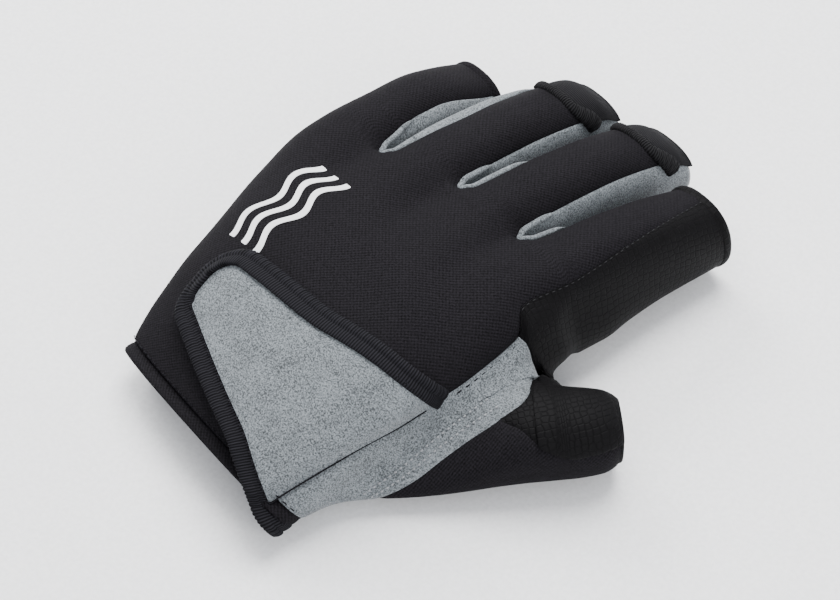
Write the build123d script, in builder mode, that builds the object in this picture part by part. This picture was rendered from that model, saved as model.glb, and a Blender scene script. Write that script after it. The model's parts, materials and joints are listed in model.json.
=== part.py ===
from build123d import *
import os
from math import cos, radians, sin

# Left-hand short-finger sailing glove, millimetres.
# +Y points to the fingertips, +X to the thumb side, +Z up out of the back of the hand.
# The flat palm patch rests on z = 0, with the origin in its face.

os.makedirs("parts", exist_ok=True)

# ---- driving dimensions ----
WALL = 1.2                  # fabric and lining together
SLACK = 0.3                 # air between pieces of different bodies
HEM_LENGTH = 4.0            # turned hems at the wrist
WRIST_Y = -59.0             # wrist mouth
KNUCKLE_Y = 41.0            # line where the fingers leave the hand
SEAM_Z = 17.2               # height of the seam between back and palm
PATCH_THICKNESS = 0.8       # grip patches on the palm

# Hand sleeve sections: y, ulnar x, radial x, lower z, upper z, corner radius
HAND_SECTIONS = [
    (WRIST_Y, -28.5, 41.0, 0.8, 29.0, 12.0),
    (-25.0, -36.0, 44.0, 0.8, 35.0, 14.0),
    (5.0, -43.0, 47.0, 0.8, 38.0, 14.5),
    (KNUCKLE_Y, -47.5, 48.5, 6.0, 35.0, 13.0),
]

# Finger stalls. x and half width at the knuckle line and the end; top and low z at the knuckle
# line, halfway and at the end
FINGERS = {
    "little": {
        "end_y": 78.0, "x": (-35.9, -35.6), "half": (11.3, 10.2),
        "top": (34.0, 31.5, 22.0), "low": (6.0, 5.0, 1.0),
    },
    "ring": {
        "end_y": 99.0, "x": (-12.3, -9.6), "half": (11.3, 10.3),
        "top": (35.0, 32.5, 21.0), "low": (6.0, 5.0, 2.0),
    },
    "middle": {
        "end_y": 102.0, "x": (11.3, 15.5), "half": (11.3, 10.4),
        "top": (35.0, 33.0, 21.0), "low": (6.0, 5.0, 2.0),
    },
    "index": {
        "end_y": 92.0, "x": (35.4, 41.2), "half": (11.6, 10.6),
        "top": (34.0, 32.0, 25.0), "low": (6.0, 5.0, 2.0),
    },
}
STALL_CORNER = 8.5          # corner radius of a finger stall
TOP_PANEL_MARGIN = 2.6      # from the side of a stall to the edge of its top panel
LOOP_LENGTH = 11.0          # pull loop past the end of the top panel
BAND_LENGTH = 3.0           # knitted band along the loop's root
BAND_HEIGHT = 1.2           # how far the band stands proud
END_HEM = 3.0               # hem of the little, index and thumb stalls
LOOPED = ("ring", "middle")  # stalls with a pull loop at the end

# Thumb: a slanted sleeve. Distances run along its own centre line from its root.
THUMB_ROOT = (34.0, -34.0)
THUMB_ANGLE = 54.0          # degrees from +X
THUMB_JOINT = 42.0          # where the thumb stall leaves the hand
THUMB_END = 72.0
THUMB_SECTIONS = [
    # along, half width, lower z, upper z, corner radius
    (-14.0, 10.0, 1.0, 9.0, 3.6),
    (4.0, 11.0, 1.0, 13.0, 5.0),
    (22.0, 11.4, 1.0, 17.4, 7.0),
    (THUMB_JOINT, 11.2, 1.0, 22.5, 8.5),
    (62.0, 10.7, 1.0, 22.0, 8.5),
    (THUMB_END, 8.4, 3.0, 19.4, 6.8),
]

# Closing strap, a rounded flap over the back of the wrist
STRAP_UNDER = 1.3           # underside of the strap above the back panel
STRAP_LINING = 0.5
STRAP_FACE = 0.9
BINDING_WIDTH = 4.5
STRAP_FOLD_A = (29.0, -57.0)   # fold line of the strap, near the wrist
STRAP_FOLD_B = (30.2, -20.0)   # fold line of the strap, near the thumb
STRAP_LOW_Z = 19.0          # height of the seam that holds the strap on the hand's side
STRAP_SIDE_X = 48.5         # past the radial side, so that the seam's height ends the strap there
STRAP_EDGE = [              # free edge in plan, from the thumb side round the flap's end to the wrist
    (STRAP_SIDE_X, -8.5), (34.0, -13.0), (10.0, -17.5), (-20.0, -20.5), (-20.5, -41.5), (6.0, -54.0),
    (28.0, -60.3), (STRAP_SIDE_X, -60.6),
]
STRAP_ROUNDS = (30.0, 60.0, 11.0, 10.0, 40.0, 40.0)  # rounding of the edge's corners, in order
STRAP_SECTIONS = [          # the hand's sleeve drawn out past the wrist mouth
    (-62.0, -27.8, 40.7, 0.8, 28.4, 11.8),
    *HAND_SECTIONS[1:3],
]

# Hook and loop fastener
FASTENER_CENTRE = (-5.0, -33.0)
HOOK_SIZE = (20.0, 15.0)
LOOP_SIZE = (30.0, 20.0)
FASTENER_THICKNESS = 0.5

# Palm grip patch, the face that the glove lies on
PATCH_CORNERS = [(-27.0, 4.0), (-21.0, -44.0), (28.0, -44.0), (33.0, 4.0)]
PATCH_ROUND = 8.0

# Printed mark: three plain waves on the ulnar side of the back
WAVE_COUNT = 3
WAVE_LENGTH = 30.0
WAVE_SWING = 1.6
WAVE_WIDTH = 2.0
WAVE_PITCH = 5.0
MARK_CENTRE = (-22.5, -3.0)
PRINT_THICKNESS = 0.25

# Webs at the finger crotches
WEB_WIDTH = 5.0
WEB_THICKNESS = 2.4

# Elastic gathered inside the palm side of the wrist
ELASTIC_CENTRE = (6.0, -49.0)
ELASTIC_SIZE = (46.0, 6.0)
ELASTIC_TOP = 8.0
ELASTIC_THICKNESS = 0.6

# Blank size label inside the back of the wrist
LABEL_CENTRE = (4.0, -46.0)
LABEL_SIZE = (12.0, 16.0)
LABEL_THICKNESS = 0.3

FAR = 300.0


def across(y, x, z):
    """Plane square to the glove's length, for a sleeve section."""
    return Plane(origin=(x, y, z), x_dir=(1, 0, 0), z_dir=(0, 1, 0))


def sleeve(sections, inset):
    """Solid lofted through (plane, width, height, corner) sections, pulled in by inset."""
    with BuildPart() as solid:
        for plane, width, height, corner in sections:
            with BuildSketch(plane):
                RectangleRounded(width - 2 * inset, height - 2 * inset, max(corner - inset, 0.6))
        loft(ruled=True)
    return solid.part


def shell(sections, outside, inside):
    """Fabric layer between two insets of the same sleeve."""
    outer = sleeve(sections, outside)
    inner = sleeve(sections, inside)
    with BuildPart() as layer:
        add(outer)
        add(inner, mode=Mode.SUBTRACT)
    return layer.part


def write(piece, name):
    piece.part.label = name
    export_step(piece.part, f"parts/{name}.step")


def hand_sections(rows):
    return [
        (across(y, (ulnar + radial) / 2, (low + high) / 2), radial - ulnar, high - low, corner)
        for y, ulnar, radial, low, high, corner in rows
    ]


def thumb_point(along, sideways=0.0):
    """Plan position on the thumb's centre line, moved sideways away from the hand."""
    angle = radians(THUMB_ANGLE)
    x = THUMB_ROOT[0] + along * cos(angle) + sideways * sin(angle)
    y = THUMB_ROOT[1] + along * sin(angle) - sideways * cos(angle)
    return x, y


def thumb_plane(along, z):
    """Plane square to the thumb's length."""
    x, y = thumb_point(along)
    angle = radians(THUMB_ANGLE)
    return Plane(origin=(x, y, z), x_dir=(sin(angle), -cos(angle), 0), z_dir=(cos(angle), sin(angle), 0))


def thumb_sections():
    return [
        (thumb_plane(along, (low + high) / 2), 2 * half, high - low, corner)
        for along, half, low, high, corner in THUMB_SECTIONS
    ]


HAND = hand_sections(HAND_SECTIONS)
THUMB = thumb_sections()
HAND_SOLID = sleeve(HAND, 0)
THUMB_SHELL = shell(THUMB, 0, WALL)
THUMB_CAVITY = sleeve(THUMB, WALL)

# The hand's fabric, open where the thumb leaves it
with BuildPart() as hand_fabric:
    add(shell(HAND, 0, WALL))
    add(THUMB_CAVITY, mode=Mode.SUBTRACT)
HAND_SHELL = hand_fabric.part

# The thumb's root, from the hand's side to the thumb joint
with BuildPart() as thumb_root_fabric:
    add(THUMB_SHELL)
    add(HAND_SOLID, mode=Mode.SUBTRACT)
    split(bisect_by=thumb_plane(THUMB_JOINT - SLACK / 2, 0), keep=Keep.BOTTOM)
THUMB_ROOT_SHELL = thumb_root_fabric.part

HEM_PLANE = Plane(origin=(0, WRIST_Y + HEM_LENGTH, 0), z_dir=(0, 1, 0))
SEAM_PLANE = Plane(origin=(0, 0, SEAM_Z), z_dir=(0, 0, 1))
# The side panel's lower edge climbs from the wrist's underside to the thumb's web
SIDE_PLANE = Plane(origin=(49.0, -34.0, 1.7), z_dir=(-0.8, -0.32, 1.0))
SIDE_START_X = 34.0
SIDE_END_Y = 21.0

# ---- hand ----
with BuildPart() as wrist_hem:
    add(HAND_SHELL)
    split(bisect_by=HEM_PLANE, keep=Keep.BOTTOM)
write(wrist_hem, "wrist_hem")

with BuildPart() as back_panel:
    add(HAND_SHELL)
    split(bisect_by=HEM_PLANE, keep=Keep.TOP)
    split(bisect_by=SEAM_PLANE, keep=Keep.TOP)
write(back_panel, "back_panel")

# Everything on the thumb side that the grey side panel covers
with BuildPart() as side_panel_region:
    with BuildSketch(Plane.XY):
        with Locations((SIDE_START_X, WRIST_Y + HEM_LENGTH)):
            Rectangle(FAR, SIDE_END_Y - WRIST_Y - HEM_LENGTH, align=(Align.MIN, Align.MIN))
    extrude(amount=FAR)
    split(bisect_by=SIDE_PLANE, keep=Keep.TOP)
SIDE_REGION = side_panel_region.part

with BuildPart() as lower_hand:
    add(HAND_SHELL)
    split(bisect_by=HEM_PLANE, keep=Keep.TOP)
    split(bisect_by=SEAM_PLANE, keep=Keep.BOTTOM)
LOWER_HAND = lower_hand.part

with BuildPart() as palm_panel:
    add(LOWER_HAND)
    add(SIDE_REGION, mode=Mode.SUBTRACT)
write(palm_panel, "palm_panel")

with BuildPart() as side_panel:
    add(LOWER_HAND)
    add(THUMB_ROOT_SHELL)
    add(SIDE_REGION, mode=Mode.INTERSECT)
write(side_panel, "side_panel")

with BuildPart() as thumb_root_panel:
    add(THUMB_ROOT_SHELL)
    add(SIDE_REGION, mode=Mode.SUBTRACT)
write(thumb_root_panel, "thumb_root_panel")

with BuildPart() as palm_grip_patch:
    with BuildSketch(Plane.XY):
        with BuildLine():
            Polyline(*PATCH_CORNERS, close=True)
        make_face()
        fillet(vertices(), PATCH_ROUND)
    extrude(amount=PATCH_THICKNESS)
write(palm_grip_patch, "palm_grip_patch")

HAND_CAVITY = sleeve(HAND, WALL)


def stall_edge(name, side):
    """Side of a finger stall at the knuckle line, -1 ulnar and 1 radial."""
    finger = FINGERS[name]
    return finger["x"][0] + side * finger["half"][0]


# Webs that close the hand's sleeve between two finger stalls
for ulnar_name, radial_name in (("little", "ring"), ("ring", "middle"), ("middle", "index")):
    web_x = (stall_edge(ulnar_name, 1) + stall_edge(radial_name, -1)) / 2
    with BuildPart() as crotch_gusset:
        add(HAND_CAVITY)
        with Locations((web_x, KNUCKLE_Y - WEB_THICKNESS / 2, 0)):
            Box(WEB_WIDTH, WEB_THICKNESS, FAR, mode=Mode.INTERSECT)
    write(crotch_gusset, f"crotch_gusset_{ulnar_name}_{radial_name}")

with BuildPart() as wrist_elastic:
    add(shell(HAND, WALL, WALL + ELASTIC_THICKNESS))
    with Locations((ELASTIC_CENTRE[0], ELASTIC_CENTRE[1], 0)):
        Box(ELASTIC_SIZE[0], ELASTIC_SIZE[1], 2 * ELASTIC_TOP, mode=Mode.INTERSECT)
write(wrist_elastic, "wrist_elastic")

with BuildPart() as size_label:
    add(shell(HAND, WALL, WALL + LABEL_THICKNESS))
    with Locations((LABEL_CENTRE[0], LABEL_CENTRE[1], FAR / 2 + SEAM_Z)):
        Box(LABEL_SIZE[0], LABEL_SIZE[1], FAR, mode=Mode.INTERSECT)
write(size_label, "size_label")

with BuildPart() as loop_patch:
    add(shell(HAND, -FASTENER_THICKNESS, 0))
    with Locations((FASTENER_CENTRE[0], FASTENER_CENTRE[1], FAR / 2 + SEAM_Z)):
        Box(LOOP_SIZE[0], LOOP_SIZE[1], FAR, mode=Mode.INTERSECT)
write(loop_patch, "loop_patch")

with BuildPart() as wave_prisms:
    for row in range(WAVE_COUNT):
        row_x = MARK_CENTRE[0] + (row - (WAVE_COUNT - 1) / 2) * WAVE_PITCH
        with BuildSketch(Plane.XY.offset(SEAM_Z)):
            with BuildLine() as wave:
                crests = [
                    (row_x + WAVE_SWING * (-1) ** step, MARK_CENTRE[1] + (step / 4 - 0.5) * WAVE_LENGTH)
                    for step in range(5)
                ]
                Spline(*crests)
            trace(line_width=WAVE_WIDTH)
        extrude(amount=FAR)
WAVES = wave_prisms.part

with BuildPart() as printed_mark:
    add(shell(HAND, -PRINT_THICKNESS, 0))
    add(WAVES, mode=Mode.INTERSECT)
write(printed_mark, "printed_mark")

# ---- strap ----
STRAP = hand_sections(STRAP_SECTIONS)
FOLD_PLANE = Plane(
    origin=(*STRAP_FOLD_A, 0),
    z_dir=(STRAP_FOLD_B[1] - STRAP_FOLD_A[1], STRAP_FOLD_A[0] - STRAP_FOLD_B[0], 0),
)
LINING_TOP = STRAP_UNDER + STRAP_LINING
FACE_TOP = LINING_TOP + STRAP_FACE


def strap_outline(inset):
    """Column over the strap's outline, down to the seam on the hand's side."""
    with BuildPart() as column:
        with BuildSketch(Plane.XY.offset(STRAP_LOW_Z)):
            with BuildLine():
                edge = FilletPolyline(*STRAP_EDGE, radius=STRAP_ROUNDS)
                Line(edge @ 1, edge @ 0)
            make_face()
            if inset:
                offset(amount=-inset, mode=Mode.REPLACE)
        extrude(amount=FAR)
    return column.part


STRAP_COLUMN = strap_outline(0)
FACE_COLUMN = strap_outline(BINDING_WIDTH)


def strap_layer(low, high, column, side):
    """One layer of the strap on one side of its fold line, low and high above the hand."""
    with BuildPart() as layer:
        add(shell(STRAP, -high, -low))
        add(column, mode=Mode.INTERSECT)
        split(bisect_by=FOLD_PLANE.offset(side * SLACK / 2), keep=Keep.TOP if side > 0 else Keep.BOTTOM)
    return layer.part


with BuildPart() as strap_face:
    add(strap_layer(LINING_TOP, FACE_TOP, FACE_COLUMN, -1))
write(strap_face, "strap_face")

with BuildPart() as strap_lining:
    add(strap_layer(STRAP_UNDER, LINING_TOP, FACE_COLUMN, -1))
write(strap_lining, "strap_lining")

with BuildPart() as strap_binding:
    add(strap_layer(STRAP_UNDER, FACE_TOP, STRAP_COLUMN, -1))
    add(FACE_COLUMN, mode=Mode.SUBTRACT)
write(strap_binding, "strap_binding")

with BuildPart() as strap_anchor:
    add(strap_layer(STRAP_UNDER, FACE_TOP, FACE_COLUMN, 1))
write(strap_anchor, "strap_anchor")

with BuildPart() as strap_anchor_binding:
    add(strap_layer(STRAP_UNDER, FACE_TOP, STRAP_COLUMN, 1))
    add(FACE_COLUMN, mode=Mode.SUBTRACT)
write(strap_anchor_binding, "strap_anchor_binding")

with BuildPart() as hook_patch:
    add(shell(STRAP, -STRAP_UNDER, -STRAP_UNDER + FASTENER_THICKNESS))
    with Locations((FASTENER_CENTRE[0], FASTENER_CENTRE[1], FAR / 2 + SEAM_Z)):
        Box(HOOK_SIZE[0], HOOK_SIZE[1], FAR, mode=Mode.INTERSECT)
write(hook_patch, "hook_patch")


# ---- finger stalls ----
def stall_sections(finger):
    """Sleeve sections of one finger stall, at the knuckle line, halfway and at the end."""
    start = KNUCKLE_Y + SLACK
    sections = []
    for step, along in enumerate((0.0, 0.5, 1.0)):
        y = start + along * (finger["end_y"] - start)
        x = finger["x"][0] + along * (finger["x"][1] - finger["x"][0])
        half = finger["half"][0] + along * (finger["half"][1] - finger["half"][0])
        low = finger["low"][step]
        high = finger["top"][step]
        sections.append((across(y, x, (low + high) / 2), 2 * half, high - low, STALL_CORNER))
    return sections


def stall_side_plane(finger, side):
    """Upright plane along a stall, between its top panel and a side wall; normal points outward."""
    run_x = finger["x"][1] - finger["x"][0]
    run_y = finger["end_y"] - KNUCKLE_Y
    out = Vector(run_y, -run_x, 0).normalized() * side
    centre = Vector(finger["x"][0], KNUCKLE_Y, 0)
    return Plane(origin=centre + out * (finger["half"][1] - TOP_PANEL_MARGIN), z_dir=out)


def stall_middle_plane(finger):
    """Plane between a stall's top and palm side; normal points up."""
    start_z = (finger["top"][0] + finger["low"][0]) / 2
    end_z = (finger["top"][2] + finger["low"][2]) / 2
    run_y = finger["end_y"] - KNUCKLE_Y
    return Plane(origin=(0, KNUCKLE_Y, start_z), z_dir=(0, start_z - end_z, run_y))


for name, finger in FINGERS.items():
    sections = stall_sections(finger)
    stall = shell(sections, 0, WALL)
    ulnar_plane = stall_side_plane(finger, -1)
    radial_plane = stall_side_plane(finger, 1)
    middle_plane = stall_middle_plane(finger)
    has_loop = name in LOOPED
    top_end = finger["end_y"] - (LOOP_LENGTH if has_loop else END_HEM)
    end_plane = Plane(origin=(0, top_end, 0), z_dir=(0, 1, 0))
    wall_end = finger["end_y"] if has_loop else top_end
    wall_plane = Plane(origin=(0, wall_end, 0), z_dir=(0, 1, 0))

    # the stall's middle strip, between its side walls
    with BuildPart() as strip:
        add(stall)
        if name != "little":
            split(bisect_by=ulnar_plane, keep=Keep.BOTTOM)
        if name != "index":
            split(bisect_by=radial_plane, keep=Keep.BOTTOM)
        if not has_loop:
            split(bisect_by=wall_plane, keep=Keep.BOTTOM)
    middle_strip = strip.part

    with BuildPart() as upper:
        add(middle_strip)
        split(bisect_by=middle_plane, keep=Keep.TOP)
        if name == "index":
            split(bisect_by=radial_plane, keep=Keep.BOTTOM)
    upper_strip = upper.part

    with BuildPart() as stall_back:
        add(upper_strip)
        split(bisect_by=end_plane, keep=Keep.BOTTOM)
    write(stall_back, f"{name}_back")

    with BuildPart() as stall_grip:
        add(middle_strip)
        add(upper_strip, mode=Mode.SUBTRACT)
    write(stall_grip, f"{name}_grip")

    for side, side_name, plane in ((-1, "ulnar", ulnar_plane), (1, "radial", radial_plane)):
        if (name, side) in (("little", -1), ("index", 1)):
            continue
        with BuildPart() as fourchette:
            add(stall)
            split(bisect_by=plane, keep=Keep.TOP)
            split(bisect_by=wall_plane, keep=Keep.BOTTOM)
        write(fourchette, f"{name}_fourchette_{side_name}")

    if has_loop:
        with BuildPart() as pull_loop:
            add(upper_strip)
            split(bisect_by=end_plane, keep=Keep.TOP)
        write(pull_loop, f"{name}_pull_loop")

        with BuildPart() as knit_band:
            add(shell(sections, -BAND_HEIGHT, 0))
            split(bisect_by=ulnar_plane, keep=Keep.BOTTOM)
            split(bisect_by=radial_plane, keep=Keep.BOTTOM)
            split(bisect_by=middle_plane, keep=Keep.TOP)
            split(bisect_by=end_plane.offset(-BAND_LENGTH / 2), keep=Keep.TOP)
            split(bisect_by=end_plane.offset(BAND_LENGTH / 2), keep=Keep.BOTTOM)
        write(knit_band, f"{name}_knit_band")
    else:
        with BuildPart() as end_hem:
            add(stall)
            split(bisect_by=wall_plane, keep=Keep.TOP)
        write(end_hem, f"{name}_end_hem")

# ---- thumb stall ----
THUMB_HEM_PLANE = thumb_plane(THUMB_END - END_HEM, 0)
# the grip wraps the upper side and the side towards the hand
GRIP_PLANE = Plane(
    origin=(*thumb_point(THUMB_JOINT), 9.0),
    z_dir=(-sin(radians(THUMB_ANGLE)) / 2, cos(radians(THUMB_ANGLE)) / 2, 1.0),
)

with BuildPart() as thumb_stall:
    add(THUMB_SHELL)
    split(bisect_by=thumb_plane(THUMB_JOINT + SLACK / 2, 0), keep=Keep.TOP)
THUMB_STALL = thumb_stall.part

with BuildPart() as thumb_grip_wrap:
    add(THUMB_STALL)
    split(bisect_by=THUMB_HEM_PLANE, keep=Keep.BOTTOM)
    split(bisect_by=GRIP_PLANE, keep=Keep.TOP)
write(thumb_grip_wrap, "thumb_grip_wrap")

with BuildPart() as thumb_stretch_panel:
    add(THUMB_STALL)
    split(bisect_by=THUMB_HEM_PLANE, keep=Keep.BOTTOM)
    split(bisect_by=GRIP_PLANE, keep=Keep.BOTTOM)
write(thumb_stretch_panel, "thumb_stretch_panel")

with BuildPart() as thumb_end_hem:
    add(THUMB_STALL)
    split(bisect_by=THUMB_HEM_PLANE, keep=Keep.TOP)
write(thumb_end_hem, "thumb_end_hem")
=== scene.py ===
import json
from math import radians

import bpy
import numpy as np
from mathutils import Matrix, Vector


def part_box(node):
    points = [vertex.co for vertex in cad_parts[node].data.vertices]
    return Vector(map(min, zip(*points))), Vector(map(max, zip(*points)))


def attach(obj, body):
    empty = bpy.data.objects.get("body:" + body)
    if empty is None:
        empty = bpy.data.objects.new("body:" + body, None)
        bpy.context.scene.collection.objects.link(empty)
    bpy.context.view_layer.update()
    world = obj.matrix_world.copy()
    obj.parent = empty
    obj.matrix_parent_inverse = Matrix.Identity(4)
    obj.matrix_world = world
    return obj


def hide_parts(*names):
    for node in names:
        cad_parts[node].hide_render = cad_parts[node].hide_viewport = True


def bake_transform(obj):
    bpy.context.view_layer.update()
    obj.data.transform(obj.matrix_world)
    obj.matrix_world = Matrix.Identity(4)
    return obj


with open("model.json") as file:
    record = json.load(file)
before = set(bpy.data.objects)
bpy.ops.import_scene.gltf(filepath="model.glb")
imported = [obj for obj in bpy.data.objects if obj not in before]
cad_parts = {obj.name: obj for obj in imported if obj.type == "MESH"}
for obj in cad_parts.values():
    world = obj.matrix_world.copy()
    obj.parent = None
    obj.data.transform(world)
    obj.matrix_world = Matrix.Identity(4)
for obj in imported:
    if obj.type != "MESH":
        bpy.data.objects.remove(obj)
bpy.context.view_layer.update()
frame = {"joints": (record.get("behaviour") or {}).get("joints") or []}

# All shapes are worked out in millimetres, in the frame's axes, and scaled when a mesh is made.
# +Y runs from the wrist to the fingertips, +X to the thumb's side. An angle round a sleeve is in degrees,
# from the thumb's side (radial) over the back to the little finger's side (ulnar).
MM = 0.001
JOINTS = {joint["name"]: joint for joint in frame["joints"]}


def cad(node):
    """Lowest and highest corners of a CAD node, in millimetres."""
    low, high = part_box(node)
    return np.array(low) / MM, np.array(high) / MM


WRIST_Y = cad("wrist_hem")[0][1]
HEM_Y = cad("wrist_hem")[1][1]
KNUCKLE_Y = JOINTS["ring_flex"]["pos_m"][1] / MM
FINGER_NAMES = ("little", "ring", "middle", "index")
CLOTH = 1.1                       # thickness of a fabric panel


# ---------------------------------------------------------------- curves and sleeves
def track(keys):
    """Smooth function through (position, value) pairs, without overshoot."""
    at = np.array([key for key, _ in keys], float)
    value = np.array([item for _, item in keys], float)
    rise = np.diff(value) / np.diff(at)
    slope = np.zeros(len(at))
    slope[0] = rise[0]
    slope[-1] = rise[-1]
    for i in range(1, len(at) - 1):
        if rise[i - 1] * rise[i] > 0:
            slope[i] = 2 * rise[i - 1] * rise[i] / (rise[i - 1] + rise[i])

    def follow(x):
        x = np.asarray(x, float)
        i = np.clip(np.searchsorted(at, x) - 1, 0, len(at) - 2)
        width = at[i + 1] - at[i]
        t = np.clip((x - at[i]) / width, 0, 1)
        return (
            value[i] * (1 + 2 * t) * (1 - t) ** 2
            + width * slope[i] * t * (1 - t) ** 2
            + value[i + 1] * t * t * (3 - 2 * t)
            - width * slope[i + 1] * t * t * (1 - t)
        )

    return follow


def smooth(t):
    t = np.clip(t, 0, 1)
    return t * t * (3 - 2 * t)


def mix(a, b, t):
    return a + (b - a) * t


def oval(angle, half_width, half_height, power):
    """Point on a superellipse, for an angle in degrees from the radial side, over the top."""
    c = np.cos(np.radians(angle))
    s = np.sin(np.radians(angle))
    x = half_width * np.sign(c) * np.abs(c) ** (2 / power)
    z = half_height * np.sign(s) * np.abs(s) ** (2 / power)
    return x, z


# Hand sleeve: (y, value) of its ulnar side, radial side, underside and top
ULNAR = track([
    (WRIST_Y - 3, -28), (WRIST_Y, -29), (-25, -36.5), (5, -43.5), (40, -47.5), (44, -47.6),
])
RADIAL = track([(WRIST_Y - 3, 40.5), (WRIST_Y, 41), (-25, 44.2), (5, 46.8), (40, 48), (44, 48)])
UNDER = track([(WRIST_Y - 3, 0.9), (-10, 0.9), (10, 1.8), (40, 6), (44, 6.4)])
TOP = track([
    (WRIST_Y - 3, 14), (WRIST_Y, 15), (-50, 20), (-38, 27), (-25, 33), (-8, 37), (5, 38), (25, 37.3),
    (44, 34.6),
])
HAND_POWER = 2.5
PALM_POWER = 3.2


def hand_point(y, angle, outward=0.0):
    """Point on the hand sleeve. The palm side is squarer than the back."""
    y, angle = np.broadcast_arrays(np.asarray(y, float), np.asarray(angle, float))
    power = np.where(np.sin(np.radians(angle)) < 0, PALM_POWER, HAND_POWER)
    half_width = (RADIAL(y) - ULNAR(y)) / 2 + outward
    half_height = (TOP(y) - UNDER(y)) / 2 + outward
    x, z = oval(angle, half_width, half_height, power)
    return np.stack([x + (RADIAL(y) + ULNAR(y)) / 2, y, z + (TOP(y) + UNDER(y)) / 2], -1)


# The wrist mouth leans: how far the palm's edge stands back from the wrist, and how much less that is
# for each millimetre up and towards the thumb
PALM_BACK = 9.5
LEAN = 0.6
SKEW = 0.05

FLAT_BELOW = 0.8                  # cloth lower than this is pressed flat on the floor

# The index's lower side is spread towards the thumb: (y, millimetres of spread)
SPREAD = track([(13, 0), (20, 2.5), (26, 5), (36, 6), (44, 6), (54, 4.2), (66, 2.7), (78, 2.1), (92, 1.5)])


def draped(points):
    """Leans the sleeve's wrist end, spreads the index's lower side and presses the underside flat."""
    x, y, z = points[..., 0], points[..., 1], points[..., 2]
    moved = points.copy()
    moved[..., 1] += smooth((-15 - y) / 44) * (PALM_BACK - LEAN * z - SKEW * x)
    pressed = FLAT_BELOW * np.exp((np.minimum(z, FLAT_BELOW) - FLAT_BELOW) / FLAT_BELOW)
    moved[..., 2] = np.where(z < FLAT_BELOW, pressed, z)
    side = smooth((x - 28) / 14) * (1 - smooth((x - 56) / 14))
    moved[..., 0] += SPREAD(y) * side * (1 - smooth((z - 8) / 18))
    return moved


LOOPED = ("ring", "middle")       # stalls that end in a pull loop; the others end in a hem
END_HEM = cad("index_end_hem")[1][1] - cad("index_end_hem")[0][1]
FINGER_POWER = 2.4


class Finger:
    """Sleeve of one finger stall: half widths at both ends, (y, height) keys, and what its hem turns in."""

    def __init__(self, name, base_x, end_x, half, top, low, turned_in=0.0):
        self.name = name
        self.end = cad(f"{name}_grip")[1][1] + (0 if name in LOOPED else END_HEM - 0.5) - turned_in
        self.base_x = base_x
        self.end_x = end_x
        self.half = track([(0, half[0]), (KNUCKLE_Y, half[0]), (self.end, half[1])])
        self.top = track(top)
        self.low = track(low)

    def centre(self, y):
        return mix(self.base_x, self.end_x, (y - KNUCKLE_Y) / (self.end - KNUCKLE_Y))

    def point(self, y, angle):
        half_height = (self.top(y) - self.low(y)) / 2
        x, z = oval(angle, self.half(y), half_height, FINGER_POWER)
        return np.stack(np.broadcast_arrays(x + self.centre(y), y, z + (self.top(y) + self.low(y)) / 2), -1)


FINGERS = [
    Finger("little", -35.9, -35.6, (11.6, 10.2),
           [(0, 36), (32, 34.2), (55, 31.5), (78, 22)], [(0, 2), (41, 6), (60, 4.6), (78, 1.2)]),
    Finger("ring", -12.2, -9.6, (11.5, 10.4),
           [(0, 37), (39, 34.6), (65, 32), (85, 27), (93, 23.5), (99, 18)],
           [(0, 2), (41, 6), (70, 4.5), (99, 2)]),
    Finger("middle", 11.3, 16.0, (11.5, 10.5),
           [(0, 37), (39, 34.8), (68, 32.5), (90, 26.5), (97, 22.5), (102, 18)],
           [(0, 2), (41, 6), (70, 4.5), (102, 2)]),
    Finger("index", 35.2, 41.2, (11.8, 10.8),
           [(0, 37), (39, 34), (65, 30.6), (92, 23.6)], [(0, 2), (41, 4.4), (65, 3.4), (92, 2.2)], 2.0),
]

# Crotches: y of each slit's root, and the angles on a stall between which its side wall lies
CROTCH_Y = (32.0, 39.6, 39.5)
RIM_ANGLE = 36.0
PALM_RIM_ANGLE = 40.0
CROTCH_ROUND = 3.2                # radius of a slit's root
VALLEY_LENGTH = 46.0              # how far before the slit the stalls begin to show


def slit_opening(past, length=CROTCH_ROUND):
    """0 before a slit's root, then a quarter circle up to 1."""
    t = np.clip(past / length, 0, 1)
    return np.sqrt(np.maximum(1 - (1 - t) ** 2, 0))


def rim_angle(gap, side, y):
    """Angle of a back panel's edge beside a crotch. The little finger's is cut back and shows its side wall."""
    cut_back = 15.0 if gap == 0 and side < 0 else 0.0
    return RIM_ANGLE + cut_back * smooth((y - CROTCH_Y[gap]) / 16) * (1 - 0.8 * smooth((y - 54) / 22))


def wall_pair(gap, y, angle):
    """Facing points of the two stalls beside a crotch, at an angle above their middle height."""
    ulnar = FINGERS[gap].point(y, angle)
    radial = FINGERS[gap + 1].point(y, 180 - angle)
    return ulnar, radial


def wall_point(gap, y, side, angle):
    """Side wall of a stall at a crotch, ulnar (-1) or radial (1); both walls meet at the slit's root."""
    ulnar, radial = wall_pair(gap, y, angle)
    middle = (ulnar + radial) / 2
    own = ulnar if side < 0 else radial
    past = y - CROTCH_Y[gap]
    open_x = slit_opening(past)[..., None]
    open_z = smooth(past / 9)[..., None]
    edge = own.copy()
    edge[..., 0:1] = mix(middle[..., 0:1], own[..., 0:1], open_x)
    edge[..., 2:3] = mix(middle[..., 2:3], own[..., 2:3], open_z)
    return edge


# Angle of the seam between the back panel and the radial side, on the hand and then on the index
RADIAL_SEAM = track([
    (WRIST_Y, 36), (-51, 31), (-35, 19), (-18.5, 9), (-5, 8), (10, 10), (18, 14), (22.5, 38), (28, 43),
    (38, 46), (60, 62), (92, 90),
])
ULNAR_SEAM = 186.0
PALM_SEAM = 308.0                 # where the palm meets the radial side
BACK_EDGES = (ULNAR_SEAM, 115.4, 90.3, 66.7)
PALM_EDGES = (ULNAR_SEAM, 250.2, 269.9, 287.8, PALM_SEAM)


def stall_weight(y, root):
    """How much of a stall's own shape shows, before and past its root."""
    return smooth((y - root + VALLEY_LENGTH) / VALLEY_LENGTH) ** 1.25


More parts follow.
